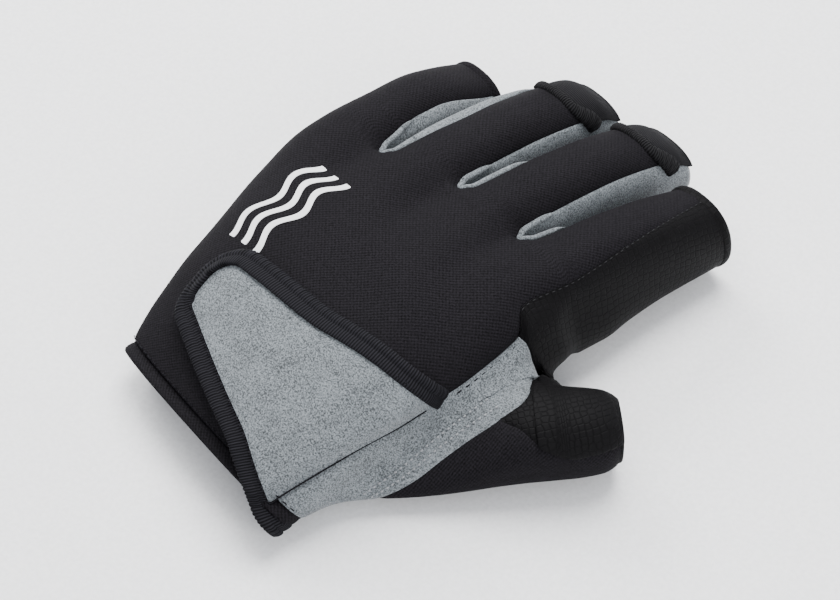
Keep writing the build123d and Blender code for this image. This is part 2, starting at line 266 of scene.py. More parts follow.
def arc(number, y, s, sign):
    """Back (sign 1) or palm (sign -1) panel over one stall: s runs -1 to 1, ulnar to radial edge."""
    finger = FINGERS[number]
    y, s = np.broadcast_arrays(np.asarray(y, float), np.asarray(s, float))
    ulnar_gap, radial_gap = max(number - 1, 0), min(number, 2)
    if sign > 0:
        stall_edges = [180 - rim_angle(ulnar_gap, 1, y), rim_angle(radial_gap, -1, y)]
        hand_edges = [*BACK_EDGES, RADIAL_SEAM(y)][number:number + 2]
        last_edge = RADIAL_SEAM(y)
    else:
        stall_edges = [180 + PALM_RIM_ANGLE, 360 - PALM_RIM_ANGLE]
        hand_edges = PALM_EDGES[number:number + 2]
        last_edge = PALM_SEAM
    if number == 0:
        stall_edges[0] = ULNAR_SEAM
    if number == 3:
        stall_edges[1] = last_edge
    along = (s + 1) / 2
    stall = finger.point(y, mix(stall_edges[0], stall_edges[1], along))
    if number > 0:
        rim = rim_angle(ulnar_gap, 1, y) if sign > 0 else -PALM_RIM_ANGLE
        shift = wall_point(number - 1, y, 1, rim) - wall_pair(number - 1, y, rim)[1]
        stall = stall + shift * (np.clip(-s, 0, 1) ** 3)[..., None]
    if number < 3:
        rim = rim_angle(radial_gap, -1, y) if sign > 0 else -PALM_RIM_ANGLE
        shift = wall_point(number, y, -1, rim) - wall_pair(number, y, rim)[0]
        stall = stall + shift * (np.clip(s, 0, 1) ** 3)[..., None]
    root = mix(CROTCH_Y[ulnar_gap], CROTCH_Y[radial_gap], along)
    hand = hand_point(y, mix(hand_edges[0], hand_edges[1], along))
    return mix(hand, stall, stall_weight(y, root)[..., None])


def radial_side(y, along):
    """Radial side of the hand and the index stall, from the back seam (0) to the palm seam (1)."""
    y, along = np.broadcast_arrays(np.asarray(y, float), np.asarray(along, float))
    angle = mix(RADIAL_SEAM(y), PALM_SEAM - 360, along)
    return mix(hand_point(y, angle), FINGERS[3].point(y, angle), stall_weight(y, CROTCH_Y[2])[..., None])


# ---------------------------------------------------------------- thumb
THUMB_JOINT = JOINTS["thumb_flex"]
THUMB_AXIS = np.array(THUMB_JOINT["axis"])
THUMB_WAY = np.array([-THUMB_AXIS[1], THUMB_AXIS[0], 0]) * -1
THUMB_OUT = np.array([THUMB_WAY[1], -THUMB_WAY[0], 0])
THUMB_KNUCKLE = np.array(THUMB_JOINT["pos_m"]) / MM * np.array([1, 1, 0])
# Distances along the thumb are counted from its joint
THUMB_HALF = track([
    (-60, 9), (-42, 11), (-22, 11.6), (0, 11.4), (18, 11), (25, 10.3), (28.5, 9), (30.5, 7.0),
])
THUMB_TOP = track([
    (-60, 7), (-42, 9), (-20, 12), (-9, 15.5), (0, 20), (8, 22.2), (20, 22), (26, 21), (30.5, 18.6),
])
THUMB_LOW = track([(-60, 1), (0, 1), (18, 1), (26, 1.8), (30.5, 4.2)])
THUMB_POWER = 2.25
MELT = 4.0                        # how softly the thumb's root runs into the hand
WEB_CENTRE = np.array([51.5, 12.5, 9.0])
WEB_HALF = np.array([6.0, 9.0, 6.5])


def thumb_place(points):
    """Distances along the thumb and across it."""
    along = (points - THUMB_KNUCKLE) @ THUMB_WAY
    side = (points - THUMB_KNUCKLE) @ THUMB_OUT
    return along, side


def thumb_point(along, angle):
    """Point on the thumb sleeve; angle in degrees from the side away from the hand, over the top."""
    top, low = THUMB_TOP(along), THUMB_LOW(along)
    side, z = oval(angle, THUMB_HALF(along), (top - low) / 2, THUMB_POWER)
    height = z + (top + low) / 2
    base = THUMB_KNUCKLE + THUMB_WAY * np.asarray(along)[..., None] + THUMB_OUT * side[..., None]
    return base + np.stack([0 * height, 0 * height, height], -1)


def hand_gap(point):
    """Rough distance outside the hand sleeve, negative inside."""
    y = point[..., 1]
    middle_x, half_x = (RADIAL(y) + ULNAR(y)) / 2, (RADIAL(y) - ULNAR(y)) / 2
    middle_z, half_z = (TOP(y) + UNDER(y)) / 2, (TOP(y) - UNDER(y)) / 2
    dx, dz = point[..., 0] - middle_x, point[..., 2] - middle_z
    power = np.where(dz < 0, PALM_POWER, HAND_POWER)
    ratio = (np.abs(dx / half_x) ** power + np.abs(dz / half_z) ** power) ** (1 / power)
    return (1 - 1 / np.maximum(ratio, 0.05)) * np.hypot(dx, dz)


def thumb_gap(point):
    """Rough distance outside the thumb sleeve, negative inside."""
    along, side = thumb_place(point)
    top, low = THUMB_TOP(along), THUMB_LOW(along)
    dz = point[..., 2] - (top + low) / 2
    ratio = (np.abs(side / THUMB_HALF(along)) ** THUMB_POWER
             + np.abs(dz / ((top - low) / 2)) ** THUMB_POWER) ** (1 / THUMB_POWER)
    return (1 - 1 / np.maximum(ratio, 0.05)) * np.hypot(side, dz)


def melted(first, second):
    """Smooth union of two distances."""
    low = np.minimum(first, second)
    return low - MELT * np.log(np.exp(-(first - low) / MELT) + np.exp(-(second - low) / MELT))


def web_gap(point):
    """Rough distance outside the pad of cloth in the thumb's crotch."""
    off = point - WEB_CENTRE
    ratio = np.linalg.norm(off / WEB_HALF, axis=-1)
    return (1 - 1 / np.maximum(ratio, 0.05)) * np.linalg.norm(off, axis=-1)


def whole_gap(point):
    """Distance outside the smooth union of hand, thumb and web."""
    return melted(melted(hand_gap(point), thumb_gap(point)), web_gap(point))


def push_out(points, ways, limit=18.0):
    """Moves points along ways onto the smooth union of hand, thumb and web."""
    reach = np.zeros(points.shape[:-1])
    for _ in range(44):
        at = points + ways * reach[..., None]
        reach = np.clip(reach - 0.8 * whole_gap(at), -2, limit)
    points = points + ways * reach[..., None]
    for _ in range(8):
        gap = whole_gap(points)
        slope = np.stack([
            (whole_gap(points + 0.05 * step) - whole_gap(points - 0.05 * step)) / 0.1 for step in np.eye(3)
        ], -1)
        square = np.maximum((slope ** 2).sum(-1), 0.2)
        points = points - slope * (np.clip(gap, -1.5, 1.5) / square)[..., None]
    return points


# Seam between the grey side panel and the thumb's root: (y, x) and (y, z)
ROOT_SEAM_X = track([
    (WRIST_Y, 34), (-48, 41.5), (-41, 45.5), (-34, 49), (-20, 53.4), (-5, 53), (4, 53.3), (15, 51.5),
])
ROOT_SEAM_Z = track([
    (WRIST_Y, 0.5), (-48, 0.6), (-41, 1.0), (-34, 4.6), (-20, 11), (-5, 14), (4, 16), (15, 16.5),
])


def root_side(point):
    """Positive on the thumb's side of the root seam."""
    y = point[..., 1]
    low = 0.707 * ((point[..., 0] - ROOT_SEAM_X(y)) - (point[..., 2] - ROOT_SEAM_Z(y)))
    web = (hand_gap(point) - thumb_gap(point)) / 2
    return mix(low, web, smooth((y - 14) / 7))


# ---------------------------------------------------------------- meshes
class Cloth:
    """Polygons with a normal and a place on the flat cloth for each vertex."""

    def __init__(self, points, normals, flat, faces):
        self.points = points
        self.normals = normals
        self.flat = flat
        self.faces = faces


def grid_normals(points, wrap=False):
    """Unit normals of a grid of points, on the side given by rows cross columns."""
    if wrap:
        padded = np.concatenate([points[:, -2:-1], points, points[:, 1:2]], 1)
        across = (padded[:, 2:] - padded[:, :-2])
    else:
        across = np.gradient(points, axis=1)
    along = np.gradient(points, axis=0)
    normals = np.cross(across, along)
    length = np.linalg.norm(normals, axis=-1, keepdims=True)
    return normals / np.maximum(length, 1e-9)


def grid_cloth(points, normals, flip=False, origin=None):
    """Cloth from a grid of points; the flat place is measured along rows, and columns from the origin."""
    rows, columns = points.shape[:2]
    step = np.linalg.norm(np.diff(points, axis=1), axis=-1)
    across = np.concatenate([np.zeros((rows, 1)), np.cumsum(step, axis=1)], 1)
    origin = columns // 2 if origin is None else origin
    across = across - across[:, origin:origin + 1]
    step = np.linalg.norm(np.diff(points[:, columns // 2], axis=0), axis=-1)
    along = np.concatenate([[0], np.cumsum(step)])[:, None] + 0 * across
    flat = np.stack([across, along], -1)
    index = np.arange(rows * columns).reshape(rows, columns)
    corners = [index[:-1, :-1], index[:-1, 1:], index[1:, 1:], index[1:, :-1]]
    if flip:
        corners.reverse()
    faces = np.stack([corner.ravel() for corner in corners], -1).tolist()
    return Cloth(points.reshape(-1, 3), normals.reshape(-1, 3), flat.reshape(-1, 2), faces)


def joined(*cloths):
    """One cloth from several; vertices at the same place become one."""
    points = np.concatenate([cloth.points for cloth in cloths])
    normals = np.concatenate([cloth.normals for cloth in cloths])
    flat = np.concatenate([cloth.flat for cloth in cloths])
    _, first, where = np.unique(np.round(points, 3), axis=0, return_index=True, return_inverse=True)
    where = where.ravel()
    total = np.zeros((len(first), 3))
    np.add.at(total, where, normals)
    total /= np.maximum(np.linalg.norm(total, axis=1, keepdims=True), 1e-9)
    faces = []
    start = 0
    for cloth in cloths:
        for face in cloth.faces:
            corners = [int(where[start + corner]) for corner in face]
            corners = [c for n, c in enumerate(corners) if c != corners[n - 1]]
            if len(corners) > 2:
                faces.append(corners)
        start += len(cloth.points)
    return Cloth(points[first], total, flat[first], faces)


def trimmed(cloth, keep):
    """The part of a cloth where keep, a value for each vertex, is positive."""
    points, normals, flat = list(cloth.points), list(cloth.normals), list(cloth.flat)
    faces = []
    cuts = {}
    for face in cloth.faces:
        values = [keep[corner] for corner in face]
        if min(values) > 0:
            faces.append(face)
            continue
        if max(values) <= 0:
            continue
        corners = []
        for n, corner in enumerate(face):
            following = face[(n + 1) % len(face)]
            if keep[corner] > 0:
                corners.append(corner)
            if (keep[corner] > 0) != (keep[following] > 0):
                edge = (min(corner, following), max(corner, following))
                if edge not in cuts:
                    t = keep[edge[0]] / (keep[edge[0]] - keep[edge[1]])
                    cuts[edge] = len(points)
                    points.append(mix(points[edge[0]], points[edge[1]], t))
                    normals.append(mix(normals[edge[0]], normals[edge[1]], t))
                    flat.append(mix(flat[edge[0]], flat[edge[1]], t))
                corners.append(cuts[edge])
        if len(corners) > 2:
            faces.append(corners)
    used = sorted({corner for face in faces for corner in face})
    new = {old: number for number, old in enumerate(used)}
    faces = [[new[corner] for corner in face] for face in faces]
    return Cloth(np.array(points)[used], np.array(normals)[used], np.array(flat)[used], faces)


def boundary(faces):
    """Edges that belong to one face only, in that face's direction."""
    count = {}
    for face in faces:
        for n, corner in enumerate(face):
            edge = (corner, face[(n + 1) % len(face)])
            count[edge] = count.get(edge, 0) + 1
    return [edge for edge in count if (edge[1], edge[0]) not in count]


def make_mesh(name, points, faces, normals=None, flat=None):
    mesh = bpy.data.meshes.new(name)
    mesh.from_pydata((draped(points) * MM).tolist(), [], faces)
    mesh.polygons.foreach_set("use_smooth", [True] * len(mesh.polygons))
    if flat is not None:
        attribute = mesh.attributes.new("cloth", "FLOAT_VECTOR", "POINT")
        attribute.data.foreach_set("vector", np.pad(flat, ((0, 0), (0, 1))).ravel().astype(np.float32))
    if normals is not None:
        mesh.normals_split_custom_set(normals.tolist())
    item = bpy.data.objects.new(name, mesh)
    bpy.context.scene.collection.objects.link(item)
    return item


def cut_size(cloths, strip=2.0):
    """Width, length and area of a panel's flat cut, added up in strips across it, in millimetres."""
    areas, places = [], []
    for cloth in cloths:
        for face in cloth.faces:
            corners = cloth.points[face]
            sides = corners[1:] - corners[0]
            areas.append(np.linalg.norm(np.cross(sides[:-1], sides[1:]).sum(0)) / 2)
            places.append(corners[:, 1].mean())
    low, high = min(places), max(places)
    strips, _ = np.histogram(places, max(1, int((high - low) / strip)), weights=areas)
    width = strips.max() * len(strips) / (high - low)
    return width, high - low, sum(areas)


def panel(name, *cloths, thickness=CLOTH, sewn=True):
    """Closed fabric panel: cloths outside, their copies inside and rims between them."""
    points, faces, normals, flats = [], [], [], []
    start = 0
    for cloth in cloths:
        count = len(cloth.points)
        points += [cloth.points, cloth.points - cloth.normals * thickness]
        outer = [[corner + start for corner in face] for face in cloth.faces]
        faces += outer
        faces += [[corner + count for corner in reversed(face)] for face in outer]
        rim = boundary(cloth.faces)
        faces += [[b + start, a + start, a + count + start, b + count + start] for a, b in rim]
        normals += [
            cloth.normals[[corner for face in cloth.faces for corner in face]],
            -cloth.normals[[corner for face in cloth.faces for corner in reversed(face)]],
            np.zeros((4 * len(rim), 3)),
        ]
        flats += [cloth.flat, cloth.flat]
        start += 2 * count
    item = make_mesh(name, np.concatenate(points), faces, np.concatenate(normals), np.concatenate(flats))
    if sewn:
        width, length, area = cut_size(cloths)
    return item


def nearest(points, targets):
    """Distance and vector from each point to the nearest target."""
    best = np.full(len(points), 1e9)
    away = np.zeros((len(points), 3))
    for target in np.array_split(targets, max(1, len(targets) // 200)):
        off = points[:, None] - target[None]
        length = np.linalg.norm(off, axis=-1)
        pick = np.argmin(length, axis=1)
        rows = np.arange(len(points))
        closer = length[rows, pick] < best
        best[closer] = length[rows, pick][closer]
        away[closer] = off[rows, pick][closer]
    return best, away


def tucked(cloth, depth=0.45, reach=0.9, open_edge=None):
    """Pulls a cloth's edges down into their seams. open_edge picks the points of edges without a seam."""
    rim = boundary(cloth.faces)
    sample = np.concatenate([mix(cloth.points[[a for a, _ in rim]], cloth.points[[b for _, b in rim]], t)
                             for t in (0.0, 0.33, 0.67)])
    if open_edge is not None:
        sample = sample[~open_edge(sample)]
    if not len(sample):
        return cloth
    inward = np.zeros((len(cloth.points), 3))
    for face in cloth.faces:
        centre = cloth.points[face].mean(0)
        inward[face] += centre - cloth.points[face]
    distance, away = nearest(cloth.points, sample)
    way = np.where(distance[:, None] < 0.02, inward, away)
    way = way / np.maximum(np.linalg.norm(way, axis=1, keepdims=True), 1e-9)
    drop = depth * np.exp(-distance / reach)
    points = cloth.points - cloth.normals * drop[:, None]
    normals = cloth.normals - way * (0.8 * drop / reach)[:, None]
    normals /= np.linalg.norm(normals, axis=1, keepdims=True)
    return Cloth(points, normals, cloth.flat, cloth.faces)


def raised(cloth, height):
    return Cloth(cloth.points + cloth.normals * height, cloth.normals, cloth.flat, cloth.faces)


def rows_between(start, end, step=1.0, dense=()):
    """Values from start to end, with extra ones just after each dense value."""
    values = list(np.linspace(start, end, max(2, int(round((end - start) / step)) + 1)))
    for at in dense:
        values += [at] + [at + CROTCH_ROUND * (1 - np.cos(t)) for t in np.linspace(0.15, 1.57, 9)]
    return np.unique(np.round([v for v in values if start <= v <= end], 3))


def rows_past(start, end, step, dense=()):
    """Rows that run on 3 mm past both ends, with the ends among them."""
    rows = rows_between(start - 3, end + 3, step, dense)
    return np.unique(np.round(np.concatenate([rows, [start, end]]), 3))


def rows_kept(rows, start, end):
    return (rows >= start - 1e-6) & (rows <= end + 1e-6)


# ---------------------------------------------------------------- sweeps
def section(half_width, half_height, count, drop=0.0):
    """Oval section of a tube, as (across, up) rows."""
    angle = np.linspace(0, 2 * np.pi, count + 1)[:-1]
    return np.stack([half_width * np.cos(angle), half_height * np.sin(angle) - drop], -1)


def sweep(path, normals, profile, closed=False):
    """Tube along a path. profile is its section, or a function that gives it for each point's number."""
    count = len(path)
    sections = [profile(number) if callable(profile) else profile for number in range(count)]
    if closed:
        tangent = np.roll(path, -1, 0) - np.roll(path, 1, 0)
    else:
        tangent = np.gradient(path, axis=0)
    tangent /= np.linalg.norm(tangent, axis=1, keepdims=True)
    up = normals - tangent * (normals * tangent).sum(1, keepdims=True)
    up /= np.linalg.norm(up, axis=1, keepdims=True)
    across = np.cross(tangent, up)
    rings = []
    for number, shape in enumerate(sections):
        rings.append(path[number] + shape[:, :1] * across[number] + shape[:, 1:] * up[number])
    points = np.concatenate(rings)
    size = len(rings[0])
    faces = []
    for i in range(count if closed else count - 1):
        j = (i + 1) % count
        for k in range(size):
            n = (k + 1) % size
            faces.append([i * size + k, i * size + n, j * size + n, j * size + k])
    if not closed:
        faces.append(list(range(size))[::-1])
        faces.append([(count - 1) * size + k for k in range(size)])
    length = np.concatenate([[0], np.cumsum(np.linalg.norm(np.diff(path, axis=0), axis=1))])
    ring_flat = np.concatenate([[0], np.cumsum(np.linalg.norm(np.diff(sections[0], axis=0), axis=1))])
    flat = np.stack([np.tile(ring_flat, count), np.repeat(length, size)], -1)
    return points, faces, flat


def merged_mesh(name, parts):
    """One mesh from several (points, faces, flat) parts."""
    points, faces, flats = [], [], []
    start = 0
    for part_points, part_faces, part_flat in parts:
        points.append(part_points)
        flats.append(part_flat)
        faces += [[corner + start for corner in face] for face in part_faces]
        start += len(part_points)
    return make_mesh(name, np.concatenate(points), faces, None, np.concatenate(flats))


def resampled(path, step):
    """Points at even steps along a polyline; extra columns are carried along."""
    length = np.concatenate([[0], np.cumsum(np.linalg.norm(np.diff(path[:, :3], axis=0), axis=1))])
    count = max(2, int(round(length[-1] / step)) + 1)
    at = np.linspace(0, length[-1], count)
    return np.stack([np.interp(at, length, path[:, k]) for k in range(path.shape[1])], -1)


def stitch_row(path, normals, length=2.1, gap=0.9, radius=0.2, sink=0.02):
    """Separate thread stitches along a path, as small capsules lying on the cloth."""
    both = resampled(np.concatenate([path, normals], 1), 0.25)
    line, up = both[:, :3], both[:, 3:]
    pitch = int(round((length + gap) / 0.25))
    used = int(round(length / 0.25)) + 1
    shape = section(1, 1, 6)
    parts = []
    for start in range(0, len(line) - used, pitch):
        piece = line[start:start + used]
        t = np.linspace(-1, 1, used)
        width = radius * np.sqrt(np.maximum(1 - np.abs(t) ** 6, 0.05))
        lift = radius * (0.7 - 1.3 * np.abs(t) ** 4) - sink

        def profile(number, width=width, lift=lift):
            return shape * width[number] + np.array([0, lift[number]])

        parts.append(sweep(piece, up[start:start + used], profile))
    return parts


# ---------------------------------------------------------------- pieces and bodies
pieces_made = []


def placed(item, body, slot, *nodes):
    """Puts a piece on the hand's body, or for any other body only bakes its transform; hides the CAD nodes it
    replaces and keeps its slot.
    """
    if body == "hand":
        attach(item, "hand")
    elif body == "strap":
        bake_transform(item)
    elif body == "thumb":
        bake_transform(item)
    else:
        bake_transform(item)
    if nodes:
        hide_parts(*nodes)
    pieces_made.append((item, slot))
    return item


def at_knuckle(points):
    return np.abs(points[:, 1] - KNUCKLE_Y) < 0.05


ACROSS = np.linspace(-1, 1, 29)


def relief(x, y):
    """Soft creases of the cloth, in millimetres."""
    crease = 0.3 * np.sin(0.21 * x + 0.09 * y + 1.2 * np.sin(0.05 * y)) * np.sin(0.07 * y - 0.04 * x)
    crease = crease * (1 + smooth((y + 14) / 22))
    return crease + 0.14 * np.sin(0.33 * y + 0.5 * np.sin(0.16 * x) + 0.07 * x)


def edge_calm(number, y, s):
    """1 inside an arc; 0 at its sewn edges, which are the outer ones and those beside a crotch."""
    calm = np.ones(np.broadcast(y, s).shape)
    for side, gap in ((-1, number - 1), (1, number)):
        sewn = 1.0 if gap < 0 or gap > 2 else smooth((y - CROTCH_Y[gap] + 10) / 9)
        calm = calm * (1 - sewn * np.clip(side * s, 0, 1) ** 6)
    return calm


VALLEY_ROUND = 3.6                # how far a valley's rounding reaches


def valley_lift(number, rows, across, sign):
    """Height that rounds the valleys on both sides of a stall, up to the slits."""
    points = arc(number, rows[:, None], across[None, :], sign)
    lift = 0 * points[..., 2]
    for side, gap in ((-1, number - 1), (1, number)):
        if gap < 0 or gap > 2:
            continue
        edge = arc(gap, rows, 1.0, sign)
        fold = 0
        for near in (arc(gap, rows, 0.94, sign), arc(gap + 1, rows, -0.94, sign)):
            fold = fold + (near[:, 2] - edge[:, 2]) / np.maximum(np.abs(near[:, 0] - edge[:, 0]), 0.1)
        fold = fold / 2 * smooth((CROTCH_Y[gap] - 0.5 - rows) / 4)
        away = np.abs(points[..., 0] - edge[:, None, 0])
        lift += (fold * VALLEY_ROUND)[:, None] * np.exp(-away / VALLEY_ROUND) * smooth((13 - away) / 5)
    return lift


def arc_cloth(number, sign, start, end, step=1.2, across=ACROSS):
    """Panel over one stall from start to end. Creases and normals run on past its rows."""
    rows = rows_past(start, end, step, CROTCH_Y)
    points = arc(number, rows[:, None], across[None, :], sign)
    points[..., 2] += valley_lift(number, rows, across, sign)
    height = smooth((rows - WRIST_Y) / 10) * (1 - 0.5 * smooth((rows - 60) / 20))
    height = height[:, None] * edge_calm(number, rows[:, None], across[None, :])
    points[..., 2] += relief(points[..., 0], points[..., 1]) * height
    normals = grid_normals(points) * sign
    keep = rows_kept(rows, start, end)
    return grid_cloth(points[keep], normals[keep], flip=sign < 0)


def laid_out(arcs, columns):
    """The four arcs of the hand as one cloth, with one flat layout measured from its middle seam line."""
    flats = [cloth.flat.reshape(-1, columns, 2) for cloth in arcs]
    widths = [flat[:, -1:, 0] - flat[:, :1, 0] for flat in flats]
    edge = -widths[0] - widths[1]
    along = flats[1][..., 1].copy()
    for flat, width in zip(flats, widths):
        flat[..., 0] += edge - flat[:, :1, 0]
        flat[..., 1] = along
        edge = edge + width
    return joined(*arcs)


def hand_cloth(sign, start=HEM_Y, end=KNUCKLE_Y, step=1.2, across=ACROSS):
    """Back (sign 1) or palm (sign -1) of the hand as one cloth."""
    return laid_out([arc_cloth(number, sign, start, end, step, across) for number in range(4)], len(across))


# ---- back of the hand and palm ----
back = panel("back_of_hand", tucked(hand_cloth(1), open_edge=at_knuckle))
placed(back, "hand", "stretch_black", "back_panel")
palm = panel("palm", tucked(hand_cloth(-1), open_edge=at_knuckle), thickness=1.0)
placed(palm, "hand", "suede_grey", "palm_panel")

# ---- radial side ----
SIDE_END_Y = 18.5                 # far end of the grey side panel


def side_cloth(start, end):
    """Radial side from start to end, pushed out over the thumb's root and the web."""
    rows = rows_past(start, end, 1.0)
    along = np.linspace(0, 1, 44)
    points = radial_side(rows[:, None], along[None, :])
    normals = grid_normals(points)
    thumb_side = points[..., 1] < KNUCKLE_Y - 6
    moved = push_out(points, normals)
    fade = smooth(along / 0.12)[None, :, None] * smooth((KNUCKLE_Y - 4 - rows) / 8)[:, None, None]
    points = np.where(thumb_side[..., None], mix(points, moved, fade), points)
    normals = grid_normals(points)
    keep = rows_kept(rows, start, end)
    return grid_cloth(points[keep], normals[keep], origin=0)


def side_limit(points):
    """Positive on the grey side panel, whose far end is rounded."""
    y, z = points[:, 1], points[:, 2]
    return SIDE_END_Y + 1.0 - y - 0.055 * (z - 21) ** 2 * (y > 0)


def crease(points):
    """Positive nearer to the thumb than to the hand."""
    return (hand_gap(points) - thumb_gap(points)) / 2


FOLD_OVERLAP = 0.5                # how far the panels of thumb and hand run under each other


def at_crease(points):
    """Edges where two grids of one panel meet in the fold beside the thumb, or the palm."""
    return (np.abs(crease(points)) < FOLD_OVERLAP + 0.2) | at_knuckle(points)


whole_side = side_cloth(HEM_Y, KNUCKLE_Y)
near_hand = FOLD_OVERLAP - crease(whole_side.points)
grey = np.minimum(-root_side(whole_side.points), side_limit(whole_side.points))
side = trimmed(whole_side, np.minimum(grey, near_hand))
grip = np.minimum(-root_side(whole_side.points), -side_limit(whole_side.points))
grip_base = trimmed(whole_side, np.minimum(grip, near_hand))
placed(panel("index_grip_base", tucked(grip_base, open_edge=at_crease)), "hand", "grip_black", "palm_panel")
root_low = trimmed(whole_side, np.minimum(root_side(whole_side.points), near_hand))


# ---- fingers ----
BAND_Y = {"ring": 84.0, "middle": 89.5}       # where a knit band crosses its stall's middle
BACK_UNDER_BAND = 6.0             # how far a back panel runs on under its band


def finger_pieces(number):
    finger = FINGERS[number]
    name = finger.name
    back_end = BAND_Y[name] + BACK_UNDER_BAND if name in LOOPED else finger.end
    cloths = [
        (f"{name}_back_panel", arc_cloth(number, 1, KNUCKLE_Y, back_end), "stretch_black", f"{name}_back"),
        (f"{name}_palm_grip", arc_cloth(number, -1, KNUCKLE_Y, finger.end), "grip_black", f"{name}_grip"),
    ]
    if name == "index":
        cloths.append(("index_side_grip", side_cloth(KNUCKLE_Y, finger.end), "grip_black", "index_grip"))
    for title, cloth, slot, node in cloths:
        placed(panel(title, tucked(cloth, open_edge=at_knuckle)), name, slot, node)


# ---- crotches ----
def wall_cloth(gap, side, start, end):
    """Side wall of one stall at a crotch."""
    rows = rows_between(start, end + 2, 1.2, CROTCH_Y[gap:gap + 1])
    rows = np.unique(np.round(np.concatenate([rows, [end]]), 3))
    rows_down = rows[:, None]
    angle = mix(rim_angle(gap, side, rows_down), -PALM_RIM_ANGLE, np.linspace(0, 1, 19)[None, :])
    points = wall_point(gap, rows_down, side, angle)
    normals = grid_normals(points) * -side
    keep = rows <= end + 1e-6
    return grid_cloth(points[keep], normals[keep], flip=side > 0)


# Rolled rims at each crotch: where each side of the U ends, and its half width there
LIP_ENDS = ((46, 84), (52, 60), (53, 52))
LIP_WIDTHS = ((0.8, 2.1), (0.85, 1.1), (0.8, 0.8))


def lip_side(gap, side):
    """One side of a rolled rim, from the root outwards: path, then half widths."""
    root = CROTCH_Y[gap] - 1.0
    end = LIP_ENDS[gap][0 if side < 0 else 1]
    y = root + (end - root) * np.linspace(0, 1, 260) ** 2
    rim = wall_point(gap, np.maximum(y, CROTCH_Y[gap]), side, rim_angle(gap, side, y))
    ulnar, radial = wall_pair(gap, y, RIM_ANGLE)
    middle_x = (ulnar[:, 0] + radial[:, 0]) / 2
    least = 0.85 * slit_opening(y - root, 1.4)
    half_gap = np.maximum(side * (rim[:, 0] - middle_x) - 0.25, least)
    path = np.stack([middle_x + side * half_gap, y, rim[:, 2] + 0.3], -1)
    widest = LIP_WIDTHS[gap][0 if side < 0 else 1]
    out = (y - root) / (end - root)
    width = mix(0.8, widest, smooth(out * 2.5)) * smooth((1.02 - out) * 2.6) ** 0.7
    return np.concatenate([path, width[:, None]], 1)


def lip_part(gap, keep):
    """Rolled rim bead, cut to the rows that keep picks."""
    ulnar, radial = lip_side(gap, -1), lip_side(gap, 1)
    line = resampled(np.concatenate([ulnar[::-1], radial[1:]]), 0.4)
    on_ulnar = np.arange(len(line)) < np.argmin(line[:, 1])
    picked = np.flatnonzero(keep(line[:, 1], on_ulnar))
    line = line[picked]
    shape = section(1, 0.85, 14)
    tilt = np.where(on_ulnar[picked], 1.0, -1.0) * 0.25
    normals = np.stack([tilt, 0 * tilt - 0.05, 1 + 0 * tilt], -1)

    def profile(number):
        width = max(line[number, 3], 0.05)
        return shape * np.array([width, min(width, 0.85)]) + np.array([0, min(width, 0.5) - 0.45])

    return sweep(line[:, :3], normals, profile)


def cloth_part(cloth, thickness=0.9):
    """A panel as a part to merge: outside, inside and rim."""
    count = len(cloth.points)
    inner = cloth.points - cloth.normals * thickness
    faces = list(cloth.faces)
    faces += [[corner + count for corner in reversed(face)] for face in cloth.faces]
    faces += [[b, a, a + count, b + count] for a, b in boundary(cloth.faces)]
    return np.concatenate([cloth.points, inner]), faces, np.concatenate([cloth.flat, cloth.flat])


CROTCH_NAMES = ("crotch_gusset_little_ring", "crotch_gusset_ring_middle", "crotch_gusset_middle_index")
FOURCHETTES = (
    ("little_fourchette_radial", "ring_fourchette_ulnar"),
    ("ring_fourchette_radial", "middle_fourchette_ulnar"),
    ("middle_fourchette_radial", "index_fourchette_ulnar"),
)


LIP_OVERLAP = 0.6                 # how far the two halves of a rim pass each other at the knuckle line


def crotch_pieces(gap):
    """The U between two stalls on the hand's side of the knuckles, and the two side walls beyond them."""
    root = CROTCH_Y[gap]
    both = joined(wall_cloth(gap, -1, root, KNUCKLE_Y), wall_cloth(gap, 1, root, KNUCKLE_Y))
    parts = [cloth_part(both), lip_part(gap, lambda y, ulnar: y <= KNUCKLE_Y + LIP_OVERLAP)]
    item = merged_mesh(f"crotch_web_{FINGER_NAMES[gap]}_{FINGER_NAMES[gap + 1]}", parts)
    placed(item, "hand", "suede_grey", CROTCH_NAMES[gap])
    for side, number in ((-1, gap), (1, gap + 1)):
        finger = FINGERS[number]
        cloth = wall_cloth(gap, side, KNUCKLE_Y, finger.end)

        def beyond(y, ulnar, side=side):
            return (ulnar == (side < 0)) & (y >= KNUCKLE_Y - LIP_OVERLAP)

        parts = [cloth_part(tucked(cloth, 0.3, open_edge=at_knuckle)), lip_part(gap, beyond)]
        node = FOURCHETTES[gap][0 if side < 0 else 1]
        item = merged_mesh(node.replace("fourchette", "side_wall"), parts)
        placed(item, finger.name, "suede_grey", node)


for gap in range(3):
    crotch_pieces(gap)

for number in range(4):
    finger_pieces(number)


# ---- finger ends ----
ROUND = np.linspace(0, 360, 121)[:-1]         # angles once round a stall


def end_ring(name, path, shape, slot):
    """Folded hem round the end of a plain stall."""
    part = sweep(path, path - path.mean(0), shape, closed=True)
    placed(merged_mesh(f"{name}_hem", [part]), name, slot, f"{name}_end_hem")


for number, slot in ((0, "stretch_black"), (3, "grip_black")):
    plain = FINGERS[number]
    end_ring(plain.name, plain.point(np.full(120, plain.end - 1.0), ROUND), section(1.55, 0.62, 16, 0.35), slot)


def band_lean(angle):
    """How far a band slopes towards the fingertip at its two ends."""
    return 1.5 * smooth((angle - 110) / 40) + 5.0 * smooth((70 - angle) / 50)


